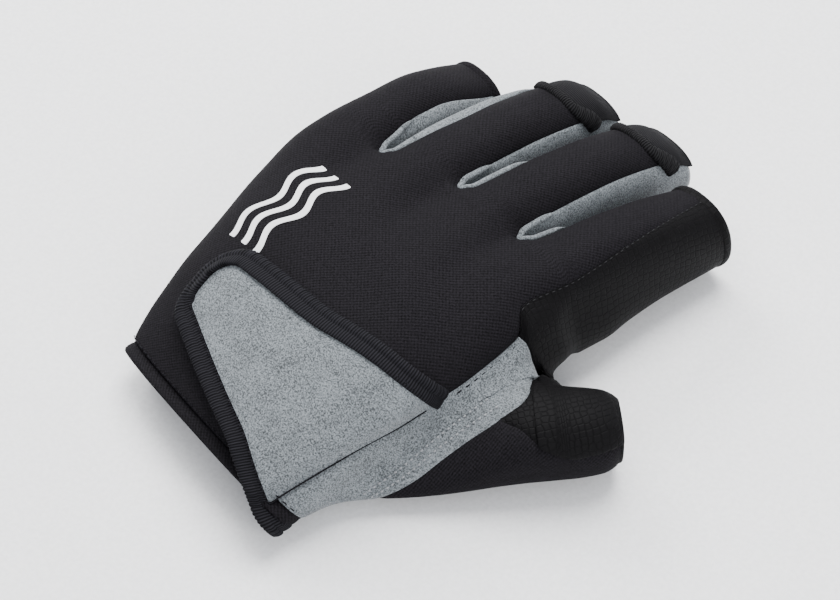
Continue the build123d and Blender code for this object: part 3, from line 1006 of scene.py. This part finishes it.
def knit_band(number):
    """Thick ribbed band over a stall's end, and the flat tape hood beyond it."""
    finger = FINGERS[number]
    name = finger.name
    band_y = BAND_Y[name]
    angle = np.linspace(150, 20, 220)
    lean = band_lean(angle)
    path = finger.point(band_y + lean, angle)
    ahead = finger.point(band_y + lean + 0.5, angle)
    normals = np.cross(np.gradient(path, axis=0), ahead - path)
    normals /= np.linalg.norm(normals, axis=1, keepdims=True)
    wide = 1.5 + 1.1 * smooth((75 - angle) / 45)
    tall = 1.25 + 0.15 * smooth((75 - angle) / 45)
    path = path + normals * 0.25
    shape_angle = np.linspace(0, 2 * np.pi, 29)[:-1]

    def profile(i):
        rib = 1 + 0.06 * np.cos(5 * shape_angle + 0.55 * i) + 0.03 * np.cos(i * 1.1)
        ends = np.sqrt(max(0.08, min(1.0, min(i, len(path) - 1 - i) / 5)))
        across = wide[i] * ends * np.cos(shape_angle) * rib
        return np.stack([across, tall[i] * ends * np.sin(shape_angle) * rib], -1)

    item = merged_mesh(f"{name}_band", [sweep(path, normals, profile)])
    placed(item, name, "knit_black", f"{name}_knit_band")

    hood_end = finger.end + 0.6
    rows = np.linspace(band_y, hood_end, 26)
    angle = np.linspace(152, 30, 60)
    past_band = ((rows - band_y) / (hood_end - band_y))[:, None]
    at = mix(band_y + band_lean(angle)[None, :], hood_end, past_band)
    points = finger.point(at, angle[None, :])
    bulge = np.sin(np.pi * (rows - band_y) / (hood_end - band_y))[:, None]
    normals = grid_normals(points)
    points = points + normals * (0.25 + 0.5 * bulge * np.sin(np.radians(angle))[None, :])[..., None]
    normals = grid_normals(points)
    cloth = grid_cloth(points, normals)
    placed(panel(f"{name}_hood", cloth, thickness=1.3), name, "webbing_black", f"{name}_pull_loop")


knit_band(1)
knit_band(2)


# ---- thumb ----
def thumb_cloth(start, end):
    """Thumb sleeve from start to end along it, on the smooth union, without what lies inside the hand."""
    rows = np.unique(np.round(np.concatenate([np.arange(-60, 30.5, 1.0), [start, end, 30.5]]), 3))
    angle = np.linspace(0, 360, 145)
    along, turn = np.broadcast_arrays(rows[:, None], angle[None, :])
    points = thumb_point(along, turn)
    middle = THUMB_KNUCKLE + THUMB_WAY * rows[:, None, None]
    middle = middle + np.array([0, 0, 0.5]) * (THUMB_TOP(rows) + THUMB_LOW(rows))[:, None, None]
    ways = points - middle
    ways = ways / np.linalg.norm(ways, axis=-1, keepdims=True)
    points = push_out(points, ways)
    normals = -grid_normals(points, wrap=True)
    keep = rows_kept(rows, start, end)
    cloth = joined(grid_cloth(points[keep], normals[keep], flip=True, origin=0))
    settled = 0.4 - np.abs(whole_gap(cloth.points))
    return trimmed(cloth, np.minimum(settled, crease(cloth.points) + FOLD_OVERLAP))


def at_fold(points):
    """Edges where thumb panels are cut at the thumb's joint or in the fold beside it."""
    return (np.abs(thumb_place(points)[0]) < 0.3) | at_crease(points)


root = thumb_cloth(-58, 0)
thumb_part = trimmed(root, root_side(root.points))
placed(panel("thumb_root", tucked(thumb_part, open_edge=at_fold), tucked(root_low, open_edge=at_fold)),
       "hand", "stretch_black", "thumb_root_panel")
side_part = trimmed(root, -root_side(root.points))

whole_stall = thumb_cloth(0, 30)
stall = trimmed(whole_stall, root_side(whole_stall.points))
side_tip = trimmed(whole_stall, -root_side(whole_stall.points))
placed(panel("side", tucked(side, open_edge=at_fold), tucked(side_part, open_edge=at_fold),
             tucked(side_tip, open_edge=at_fold)), "hand", "suede_grey", "side_panel")


WEB_INSET = 0.3                   # how far the lining lies under the panels


def web_pad():
    """Lining of the thumb's crotch, just inside the panels that meet there."""
    turn, tilt = np.meshgrid(np.linspace(0, 360, 61), np.linspace(-89, 89, 41))
    turn, tilt = np.radians(turn), np.radians(tilt)
    ways = np.stack([np.cos(tilt) * np.cos(turn), np.cos(tilt) * np.sin(turn), np.sin(tilt)], -1)
    reach = np.zeros(turn.shape)
    for _ in range(40):
        gap = whole_gap(WEB_CENTRE + ways * reach[..., None])
        reach = np.clip(reach - 0.8 * (gap + WEB_INSET), 0, 13)
    return joined(grid_cloth(WEB_CENTRE + ways * reach[..., None], ways))


pad = merged_mesh("thumb_crotch_lining", [cloth_part(web_pad(), 0.6)])
placed(pad, "hand", "grip_black", "palm_panel")

# The wrap's outer edge on the thumb: (distance along it, angle)
WRAP_EDGE = track([(-2, 95), (4, 70), (8.6, 44), (10.5, 38), (17.5, 25), (29, 34)])


def wrap_side(points):
    """Positive on the grip wrap, which covers the thumb but for its outer side."""
    along, side = thumb_place(points)
    middle = (THUMB_TOP(along) + THUMB_LOW(along)) / 2
    half = (THUMB_TOP(along) - THUMB_LOW(along)) / 2
    angle = np.degrees(np.arctan2((points[:, 2] - middle) / half, side / THUMB_HALF(along)))
    angle = np.where(angle < -75, angle + 360, angle)
    return np.minimum(angle - WRAP_EDGE(along), 285 - angle) * 0.2


# Start of the wrap's second layer: (place across the thumb, distance along it)
TIP_WRAP = track([(-12, 11.0), (-8, 9.5), (0, 8.6), (12, 8.6)])


def tip_side(points):
    """Positive on the wrap's second layer, over the thumb's end."""
    along, side = thumb_place(points)
    return along - TIP_WRAP(side)


def at_tip_fold(points):
    """Edges without a seam: at the thumb's joint, in its fold and under its end hem."""
    return at_fold(points) | (thumb_place(points)[0] > 29.4)


wrap = trimmed(stall, wrap_side(stall.points))
placed(panel("thumb_wrap", tucked(wrap, open_edge=at_tip_fold)), "thumb", "grip_black", "thumb_grip_wrap")
tip = trimmed(wrap, tip_side(wrap.points))
tip = raised(tucked(tip, 0.25, 0.5, open_edge=at_tip_fold), 1.0)
placed(panel("thumb_tip_wrap", tip, thickness=1.1), "thumb", "grip_black", "thumb_grip_wrap")
outer = tucked(trimmed(stall, -wrap_side(stall.points)), open_edge=at_tip_fold)
placed(panel("thumb_outer", outer), "thumb", "stretch_black", "thumb_stretch_panel")
end_ring("thumb", thumb_point(np.full(120, 29.9), ROUND), section(0.8, 0.6, 16, 0.45), "grip_black")


# ---- wrist hem ----
hem_angle = np.linspace(0, 360, 361)[:-1]
hem_middle = (WRIST_Y + HEM_Y) / 2
hem_path = hand_point(np.full(360, hem_middle), hem_angle)
hem_out = hand_point(np.full(360, hem_middle), hem_angle, 1.0) - hem_path
HEM_SHAPE = np.array([
    (-2.1, -0.45), (-1.5, -0.02), (-0.6, 0.12), (0.5, 0.08), (1.2, -0.1), (1.6, 0.0), (2.1, -0.3),
    (2.0, -1.1), (0.5, -1.3), (-1.0, -1.3), (-2.0, -1.1),
])
hem_part = sweep(hem_path, hem_out, HEM_SHAPE, closed=True)
placed(merged_mesh("wrist_edge", [hem_part]), "hand", "stretch_black", "wrist_hem")


# ---------------------------------------------------------------- unrolled places on the hand
TABLE_ANGLES = np.arange(200.0, -61.0, -1.0)


def hand_angle(across, y):
    """Angle on the hand sleeve that lies a distance across, in millimetres, from its top line."""
    across, y = np.broadcast_arrays(np.asarray(across, float), np.asarray(y, float))
    shape = across.shape
    across, y = across.ravel(), y.ravel()
    levels = np.unique(np.round(y, 1))
    angle = np.zeros(len(y))
    for level in levels:
        line = hand_point(np.full(len(TABLE_ANGLES), level), TABLE_ANGLES)
        length = np.concatenate([[0], np.cumsum(np.linalg.norm(np.diff(line, axis=0), axis=1))])
        length = length - np.interp(90.0, TABLE_ANGLES[::-1], length[::-1])
        pick = np.round(y, 1) == level
        angle[pick] = np.interp(across[pick], length, TABLE_ANGLES)
    return angle.reshape(shape)


def on_hand(across, y, height):
    """Point above the hand's back, for an unrolled place."""
    return hand_point(y, hand_angle(across, y), height)


def rounded_path(corners, radii, step=0.3):
    """Polyline with rounded corners as even points in the plane."""
    corners = [np.array(corner, float) for corner in corners]
    points = [corners[0]]
    for before, corner, after, radius in zip(corners, corners[1:], corners[2:], radii):
        enter = (before - corner) / np.linalg.norm(before - corner)
        leave = (after - corner) / np.linalg.norm(after - corner)
        half = np.arccos(np.clip(enter @ leave, -1, 1)) / 2
        back_off = radius / np.tan(half)
        centre = corner + (enter + leave) / np.linalg.norm(enter + leave) * radius / np.sin(half)
        start, stop = corner + enter * back_off - centre, corner + leave * back_off - centre
        turn_angle = np.pi - 2 * half
        for t in np.linspace(0, 1, 16):
            weight_a, weight_b = np.sin((1 - t) * turn_angle), np.sin(t * turn_angle)
            points.append(centre + (start * weight_a + stop * weight_b) / np.sin(turn_angle))
    points.append(corners[-1])
    return resampled(np.pad(np.array(points), ((0, 0), (0, 1))), step)[:, :2]


def inside_distance(points, path):
    """Distance of plane points to the left of a path, negative on its right."""
    flat_points = np.pad(points, ((0, 0), (0, 1)))
    targets = np.pad(path, ((0, 0), (0, 1)))
    distance, away = nearest(flat_points, targets)
    tangent = np.gradient(path, axis=0)
    index = np.array([np.argmin(((path - (p - a[:2])) ** 2).sum(1)) for p, a in zip(points, away)])
    side = tangent[index, 0] * away[:, 1] - tangent[index, 1] * away[:, 0]
    return distance * np.sign(side)


# ---------------------------------------------------------------- strap
# Free edge in unrolled places: from the thumb side round the flap's end to the wrist
STRAP_EDGE = [
    (60.0, 2.0), (37.0, -12.0), (9.0, -18.0), (-26.5, -20.0), (-25.5, -39.5), (-4.0, -46.5), (13.0, -52.0),
    (31.0, -63.0), (52.0, -65.5),
]
STRAP_ROUNDS = (40.0, 60.0, 10.5, 9.0, 30.0, 20.0, 14.0)      # radius at each corner
STRAP_UNDER = 1.3                 # heights of the strap's two faces above the hand
STRAP_TOP = 2.7
BINDING_WIDTH = 5.4
strap_path = rounded_path(STRAP_EDGE, STRAP_ROUNDS)


def strap_limit(across, y):
    """Positive above the seam that holds the strap on the hand's side."""
    return (hand_angle(across, y) - RADIAL_SEAM(y)) * 0.6 + 0.3


def strap_height(across, y, height):
    """The strap comes down to the hand at its side seam, and stands off it elsewhere."""
    near = smooth(strap_limit(across, y) / 10)
    return mix(height * 0.12, height, near)


def strap_wave(across, y):
    """Slight unevenness of the strap's lie."""
    return 0.35 * np.sin(0.13 * across + 0.4) * np.sin(0.11 * y + 0.8)


def strap_layer(inset, height):
    """Layer of the strap inside its edge, as a cloth."""
    across = np.arange(-26.0, 62.0, 0.8)
    y = np.arange(-60.0, 4.0, 0.8)
    across, y = np.meshgrid(across, y)
    points = on_hand(across, y, strap_height(across, y, height) + strap_wave(across, y))
    cloth = grid_cloth(points, grid_normals(points))
    places = np.stack([across.ravel(), y.ravel()], -1)
    inside = inside_distance(places, strap_path) - inset
    limit = strap_limit(places[:, 0], places[:, 1])
    return trimmed(cloth, np.minimum(inside, limit))


face = strap_layer(BINDING_WIDTH - 0.8, STRAP_TOP)
placed(panel("strap_suede", face, thickness=0.9), "strap", "suede_grey", "strap_face", "strap_anchor")
lining = strap_layer(BINDING_WIDTH - 1.2, STRAP_UNDER + 0.45)
placed(panel("strap_inside", lining, thickness=0.4), "strap", "lining", "strap_lining")


def along_edge(path, inset):
    """The path moved inwards, to its left."""
    tangent = np.gradient(path, axis=0)
    tangent /= np.linalg.norm(tangent, axis=1, keepdims=True)
    return path + np.stack([-tangent[:, 1], tangent[:, 0]], -1) * inset


def edge_line(inset, height):
    """Line along the strap's edge on the hand, with the surface's normals."""
    places = along_edge(strap_path, inset)
    angle = hand_angle(places[:, 0], places[:, 1])
    keep = (strap_limit(places[:, 0], places[:, 1]) > -0.2) | ((places[:, 1] < -50) & (angle > -30))
    across, y = places[keep].T
    lift = strap_height(across, y, height) + strap_wave(across, y)
    line = on_hand(across, y, lift)
    return line, on_hand(across, y, lift + 1) - line


binding_line, binding_up = edge_line(BINDING_WIDTH / 2, STRAP_TOP)
RIB_PITCH = 1.2
PATH_STEP = 0.3                   # between the points of the strap's path


def binding_profile(number):
    """Section of the binding: ribbed overlocked edge, then a smooth band."""
    rib = 0.22 * abs(np.sin(np.pi * number * PATH_STEP / RIB_PITCH)) ** 0.7
    return np.array([
        (-2.2, -1.2), (-2.35 - rib, -0.6), (-2.2 - rib, 0.05), (-1.7, 0.35 + rib), (-1.0, 0.5 + rib),
        (-0.4, 0.4 + rib), (-0.1, 0.16), (0.2, 0.34), (1.0, 0.42), (1.8, 0.36), (2.25, 0.2), (2.35, -0.1),
        (2.0, -1.2),
    ]) * np.array([-1.2, 1])


binding = sweep(binding_line, binding_up, binding_profile)
stitch_line, stitch_up = edge_line(4.3, STRAP_TOP + 0.33)
binding_parts = [binding] + stitch_row(stitch_line, stitch_up, 1.6, 0.9, 0.2)
placed(merged_mesh("strap_edge_binding", binding_parts), "strap", "binding_black", "strap_binding",
       "strap_anchor_binding")


# ---------------------------------------------------------------- fastener, print, patch, label
def hand_patch(centre, size, height, step=0.8, wave=0.0):
    """Rectangle of cloth on the unrolled hand."""
    across = np.arange(centre[0] - size[0] / 2, centre[0] + size[0] / 2 + 0.01, step)
    y = np.arange(centre[1] - size[1] / 2, centre[1] + size[1] / 2 + 0.01, step)
    across, y = np.meshgrid(across, y)
    points = on_hand(across, y, height + wave * np.sin(2.6 * across) * np.sin(2.6 * y))
    return grid_cloth(points, grid_normals(points))


FASTENER = (-4.0, -31.5)
loops = hand_patch(FASTENER, (27, 17), 0.6, 0.6, 0.08)
placed(panel("loop_tape_patch", loops, thickness=0.5, sewn=False), "hand", "loop_tape", "loop_patch")
hooks = hand_patch(FASTENER, (20, 15), STRAP_UNDER + 0.05, 0.6, 0.1)
placed(panel("hook_tape_patch", hooks, thickness=0.5, sewn=False), "strap", "hook_tape", "hook_patch")

MARK_LOW, MARK_HIGH = cad("printed_mark")
MARK_X = (MARK_LOW[0] + MARK_HIGH[0]) / 2
MARK_Y = (MARK_LOW[1] + MARK_HIGH[1]) / 2
MARK_LENGTH = MARK_HIGH[1] - MARK_LOW[1]


def printed_waves():
    """Three plain waves printed on the back, as thin raised ink."""
    fine = np.linspace(-1, 1, 121)
    start, end = MARK_LOW[1] - 1, MARK_HIGH[1] + 1
    cloth = joined(arc_cloth(0, 1, start, end, 0.35, fine), arc_cloth(1, 1, start, end, 0.35, fine))
    x, y = cloth.points[:, 0], cloth.points[:, 1]
    inked = np.full(len(x), -9.0)
    for row in (-1, 0, 1):
        middle = MARK_X + 5.0 * row + 1.6 * np.cos(np.pi * (y - MARK_LOW[1]) / (MARK_LENGTH / 4))
        inked = np.maximum(inked, 1.0 - np.abs(x - middle))
    inked = np.minimum(inked, MARK_LENGTH / 2 - np.abs(y - MARK_Y))
    return trimmed(cloth, inked)


ink = raised(printed_waves(), 0.15)
placed(panel("wave_print", ink, thickness=0.2, sewn=False), "hand", "print_white", "printed_mark")


def palm_patch():
    """Grip patch on the palm with rounded corners."""
    fine = np.linspace(-1, 1, 41)
    cloth = hand_cloth(-1, -46, 6, 0.8, fine)
    corners = [(3, 4), (-27, 4), (-21, -44), (28, -44), (33, 4), (3, 4)]
    path = rounded_path(corners, (8, 8, 8, 8), 0.5)
    return trimmed(cloth, inside_distance(cloth.points[:, :2], path))


placed(panel("palm_grip", raised(palm_patch(), 0.55), thickness=0.6), "hand", "grip_black", "palm_grip_patch")


def inner_strip(start_angle, end_angle, start_y, end_y, depth, ripple):
    """Strip sewn inside the hand sleeve."""
    angle, y = np.meshgrid(np.linspace(start_angle, end_angle, 90), np.linspace(start_y, end_y, 16))
    points = hand_point(y, angle, -depth + ripple * np.cos(np.radians((angle - start_angle) * 40)))
    return grid_cloth(points, -grid_normals(points) * np.sign(end_angle - start_angle))


elastic = inner_strip(239, 301, -52, -46, 1.7, 0.12)
placed(panel("wrist_elastic_strip", elastic, thickness=0.5, sewn=False), "hand", "elastic", "wrist_elastic")
label = inner_strip(100, 80, -54, -38, 1.5, 0.0)
placed(panel("blank_label", label, thickness=0.25, sewn=False), "hand", "label", "size_label")


# ---------------------------------------------------------------- stitches
def side_line(start, end, along, lift=0.05):
    """Line on the radial side, with normals."""
    y = np.arange(start, end, 0.5)
    line = radial_side(y, np.full(len(y), along))
    other = radial_side(y, np.full(len(y), along + 0.02))
    normals = np.cross(other - line, np.gradient(line, axis=0))
    normals /= np.linalg.norm(normals, axis=1, keepdims=True)
    return line + normals * lift, normals


def stitched(name, body, slot, node, *rows):
    parts = [part for row in rows for part in row]
    placed(merged_mesh(name, parts), body, slot, node)


def strap_seam_shade_thread():
    """Dark thread tube sunk along the seam where the strap is sewn to the side panel; it stands in for the
    shadow in the seam's groove (painted shade).
    """
    y = np.arange(-60, -13, 0.5)
    angle = RADIAL_SEAM(y) - 0.6
    line = hand_point(y, angle, 0.3)
    return [sweep(line, hand_point(y, angle, 1.28) - line, section(0.22, 0.22, 16))]


upper_row = stitch_row(*side_line(-4, 17.5, 0.045), 1.8, 1.0, 0.2)
# Real stitches on the side panel, plus the strap seam's dark thread, which is painted shade for the groove
# beside the strap.
stitched("side_stitches_and_seam_shade", "hand", "binding_black", "side_panel", upper_row, strap_seam_shade_thread())


def root_seam_rows():
    """Two rows of pale stitches on the side panel, above the thumb's root."""
    rows = []
    for off in (2.4, 4.4):
        y = np.arange(-37, 4, 0.5)
        line = np.stack([ROOT_SEAM_X(y) - 0.707 * off, y, ROOT_SEAM_Z(y) + 0.707 * off], -1)
        ways = np.tile([0.75, 0.0, 0.66], (len(y), 1))
        line = push_out(line, ways)
        rows.append(stitch_row(line + ways * 0.1, ways, 1.0, 0.8, 0.27, 0.0))
    return rows


stitched("root_seam_stitches", "hand", "thread_grey", "side_panel", *root_seam_rows())
seam_row = stitch_row(*side_line(22, KNUCKLE_Y, 0.012), 0.9, 1.2, 0.1)
stitched("index_seam_stitches_low", "hand", "thread_dark", "palm_panel", seam_row)
seam_row = stitch_row(*side_line(KNUCKLE_Y, 90, 0.012), 0.9, 1.2, 0.1)
stitched("index_seam_stitches", "index", "thread_dark", "index_grip", seam_row)
hem_angles = np.linspace(9, 185, 500)
hem_row_path = hand_point(np.full(500, HEM_Y + 0.9), hem_angles)
hem_row_up = hand_point(np.full(500, HEM_Y + 0.9), hem_angles, 1.0) - hem_row_path
hem_row = stitch_row(hem_row_path, hem_row_up, 1.6, 0.9, 0.18)
stitched("hem_stitches", "hand", "binding_black", "wrist_hem", hem_row)


# ---------------------------------------------------------------- materials
class Nodes:
    """Short way to build one material's nodes."""

    def __init__(self, name, colour, rough):
        self.material = bpy.data.materials.new(name)
        self.material.use_nodes = True
        self.tree = self.material.node_tree
        self.shader = self.tree.nodes["Principled BSDF"]
        self.shader.inputs["Base Color"].default_value = (*colour, 1)
        self.shader.inputs["Roughness"].default_value = rough
        self.shader.inputs["Specular IOR Level"].default_value = 0.07
        self.colour = colour

    def add(self, kind, **settings):
        node = self.tree.nodes.new(kind)
        for key, value in settings.items():
            if hasattr(node, key):
                setattr(node, key, value)
            else:
                node.inputs[key.replace("_", " ")].default_value = value
        return node

    def link(self, source, target):
        self.tree.links.new(source, target)

    def cloth(self, scale=(1, 1, 1), turn_z=0.0):
        """Millimetre places on the flat cloth, scaled and turned."""
        attribute = self.add("ShaderNodeAttribute", attribute_name="cloth")
        mapping = self.add("ShaderNodeMapping", Scale=scale, Rotation=(0, 0, turn_z))
        self.link(attribute.outputs["Vector"], mapping.inputs["Vector"])
        return mapping.outputs["Vector"]

    def solid(self):
        return self.add("ShaderNodeTexCoord").outputs["Object"]

    def noise(self, place, scale, detail=2.0):
        node = self.add("ShaderNodeTexNoise", Scale=scale, Detail=detail)
        self.link(place, node.inputs["Vector"])
        return node.outputs["Fac"]

    def wave(self, place, scale, distortion=0.0):
        node = self.add("ShaderNodeTexWave", Scale=scale, Distortion=distortion)
        self.link(place, node.inputs["Vector"])
        return node.outputs["Fac"]

    def math(self, operation, first, second):
        node = self.add("ShaderNodeMath", operation=operation)
        for number, value in enumerate((first, second)):
            if isinstance(value, (int, float)):
                node.inputs[number].default_value = value
            else:
                self.link(value, node.inputs[number])
        return node.outputs[0]

    def tint(self, factor, low, high, low_at=0.3, high_at=0.7):
        """Base colour from low to high times the plain colour, as factor rises."""
        ramp = self.add("ShaderNodeValToRGB")
        ramp.color_ramp.elements[0].position = low_at
        ramp.color_ramp.elements[1].position = high_at
        ramp.color_ramp.elements[0].color = (*[low * channel for channel in self.colour], 1)
        ramp.color_ramp.elements[1].color = (*[high * channel for channel in self.colour], 1)
        self.link(factor, ramp.inputs["Fac"])
        self.link(ramp.outputs["Color"], self.shader.inputs["Base Color"])

    def bump(self, height, strength, distance):
        node = self.add("ShaderNodeBump", Strength=strength, Distance=distance * MM)
        self.link(height, node.inputs["Height"])
        self.link(node.outputs["Normal"], self.shader.inputs["Normal"])

    def fuzz(self, weight, rough=0.5):
        self.shader.inputs["Sheen Weight"].default_value = weight
        self.shader.inputs["Sheen Roughness"].default_value = rough


def stretch_material(slot, colour):
    """Two fine diagonal weaves under an uneven grain."""
    made = Nodes(slot, colour, 0.85)
    weave = made.wave(made.cloth((1, 1, 1), 0.75), 0.4, 0.6)
    across = made.wave(made.cloth((1, 1, 1), -0.8), 0.34, 0.6)
    grain = made.noise(made.solid(), 2400, 2)
    height = made.math("ADD", made.math("MULTIPLY", weave, 0.35), made.math("MULTIPLY", across, 0.2))
    height = made.math("ADD", height, made.math("MULTIPLY", grain, 1.3))
    made.tint(made.math("MULTIPLY", height, 0.54), 0.25, 2.1, 0.28, 0.72)
    made.bump(height, 0.7, 0.12)
    return made


def suede_material(slot, colour):
    """Short nap, mottled where it was brushed."""
    made = Nodes(slot, colour, 0.95)
    fine = made.noise(made.solid(), 2500, 2)
    broad = made.noise(made.solid(), 150, 2)
    factor = made.math("ADD", made.math("MULTIPLY", fine, 0.85), made.math("MULTIPLY", broad, 0.15))
    made.tint(factor, 0.34, 1.68, 0.36, 0.64)
    made.bump(fine, 0.3, 0.1)
    made.fuzz(0.25)
    return made


def grip_material(slot, colour):
    """Raised crackle of grip print, in uneven squares."""
    made = Nodes(slot, colour, 0.62)
    wobble = made.noise(made.solid(), 330, 2)
    place = made.cloth((0.62, 0.55, 0.6), 0.12)
    cells = made.add("ShaderNodeTexVoronoi", feature="DISTANCE_TO_EDGE", Scale=1.0, Randomness=0.4)
    made.link(place, cells.inputs["Vector"])
    edge = made.math("MINIMUM", cells.outputs["Distance"], 0.16)
    height = made.math("ADD", made.math("MULTIPLY", edge, 5.0), made.math("MULTIPLY", wobble, 0.5))
    made.tint(made.math("MULTIPLY", height, 0.8), 0.6, 1.5, 0.2, 0.9)
    made.bump(height, 0.6, 0.22)
    return made


def rib_highlight_material(slot, colour, scale, turn_z=0.0, distance=0.2):
    """Parallel ribs or woven lines along the cloth, tinted lighter on their crests and darker between them:
    painted highlights and painted shade on the ribs.
    """
    made = Nodes(slot, colour, 0.85)
    lines = made.wave(made.cloth((1, 1, 1), turn_z), scale, 0.4)
    # Rib crests go up to 2.2 times the plain colour and grooves down to 0.4 times: painted highlight and
    # painted shade.
    made.tint(lines, 0.4, 2.2, 0.1, 0.9)
    made.bump(lines, 0.6, distance)
    return made


def pile_material(slot, colour):
    """Dense small hooks or loops."""
    made = Nodes(slot, colour, 0.9)
    pile = made.noise(made.solid(), 2200, 2)
    made.tint(pile, 0.4, 1.8, 0.35, 0.65)
    made.bump(pile, 0.8, 0.3)
    return made


def smooth_material(slot, colour, rough=0.6):
    """Even surface with a faint grain."""
    made = Nodes(slot, colour, rough)
    grain = made.noise(made.solid(), 900, 2)
    made.tint(grain, 0.95, 1.04)
    return made


# Each slot's maker and colour, then what else its maker takes
LOOKS = {
    "stretch_black": (stretch_material, (0.0060, 0.0054, 0.0066)),
    "suede_grey": (suede_material, (0.126, 0.139, 0.147)),
    "grip_black": (grip_material, (0.0022, 0.0020, 0.0023)),
    "binding_black": (rib_highlight_material, (0.0066, 0.0064, 0.0078), 0.42, np.pi / 2),
    "knit_black": (rib_highlight_material, (0.0070, 0.0068, 0.0074), 0.5, np.pi / 2, 0.25),
    "webbing_black": (rib_highlight_material, (0.0065, 0.0063, 0.0072), 0.42, np.pi / 2, 0.3),
    "hook_tape": (pile_material, (0.03, 0.03, 0.032)),
    "loop_tape": (pile_material, (0.035, 0.034, 0.04)),
    "print_white": (smooth_material, (0.80, 0.80, 0.80)),
    "elastic": (rib_highlight_material, (0.05, 0.05, 0.05), 0.5),
    "label": (smooth_material, (0.75, 0.75, 0.75)),
    "lining": (smooth_material, (0.035, 0.035, 0.04), 0.9),
    "thread_grey": (smooth_material, (0.26, 0.27, 0.28), 0.8),
    "thread_dark": (smooth_material, (0.03, 0.03, 0.032), 0.8),
}
MATERIALS = {slot: make(slot, colour, *rest) for slot, (make, colour, *rest) in LOOKS.items()}
for item, slot in pieces_made:
    item.data.materials.append(MATERIALS[slot].material)


# ---------------------------------------------------------------- light, floor and camera
def soft_light(name, location, size, power):
    lamp = bpy.data.lights.new(name, "AREA")
    lamp.shape = "DISK"
    lamp.size = size
    lamp.energy = power
    item = bpy.data.objects.new(name, lamp)
    item.location = location
    item.rotation_euler = (-item.location).to_track_quat("-Z", "Y").to_euler()
    bpy.context.scene.collection.objects.link(item)


soft_light("overhead", (-0.2, 0.35, 0.9), 0.7, 16)
soft_light("little_finger_side", (-0.75, 0.15, 0.55), 0.5, 9)
soft_light("front_right", (0.75, -0.2, 0.5), 0.5, 4)

world = bpy.data.worlds.new("studio")
world.use_nodes = True
world.node_tree.nodes["Background"].inputs["Color"].default_value = (0.92, 0.94, 1.0, 1)
world.node_tree.nodes["Background"].inputs["Strength"].default_value = 1.0
bpy.context.scene.world = world

FLOOR_Z = -0.0003
floor_mesh = bpy.data.meshes.new("floor")
floor_corners = [(-3, -3, FLOOR_Z), (3, -3, FLOOR_Z), (3, 3, FLOOR_Z), (-3, 3, FLOOR_Z)]
floor_mesh.from_pydata(floor_corners, [], [(0, 1, 2, 3)])
floor = bpy.data.objects.new("floor", floor_mesh)
bpy.context.scene.collection.objects.link(floor)
floor_mesh.materials.append(smooth_material("pale_floor", (0.93, 0.93, 0.93), 0.9).material)

AZIMUTH = radians(48.8)
ELEVATION = radians(50.5)
AIM = Vector((0.0125, 0.013, 0.0149))
DISTANCE = 0.62
ROLL = radians(0.2)
camera_data = bpy.data.cameras.new("camera")
camera_data.lens = 100
camera_data.sensor_width = 36
camera = bpy.data.objects.new("camera", camera_data)
bpy.context.scene.collection.objects.link(camera)
back_way = Vector((
    np.sin(AZIMUTH) * np.cos(ELEVATION), -np.cos(AZIMUTH) * np.cos(ELEVATION), np.sin(ELEVATION),
))
camera.location = AIM + back_way * DISTANCE
right_way = Vector((np.cos(AZIMUTH), np.sin(AZIMUTH), 0))
up_way = back_way.cross(right_way)
turn = Matrix((right_way, up_way, back_way)).transposed()
camera.rotation_euler = (turn @ Matrix.Rotation(ROLL, 3, "Z")).to_euler()
bpy.context.scene.camera = camera
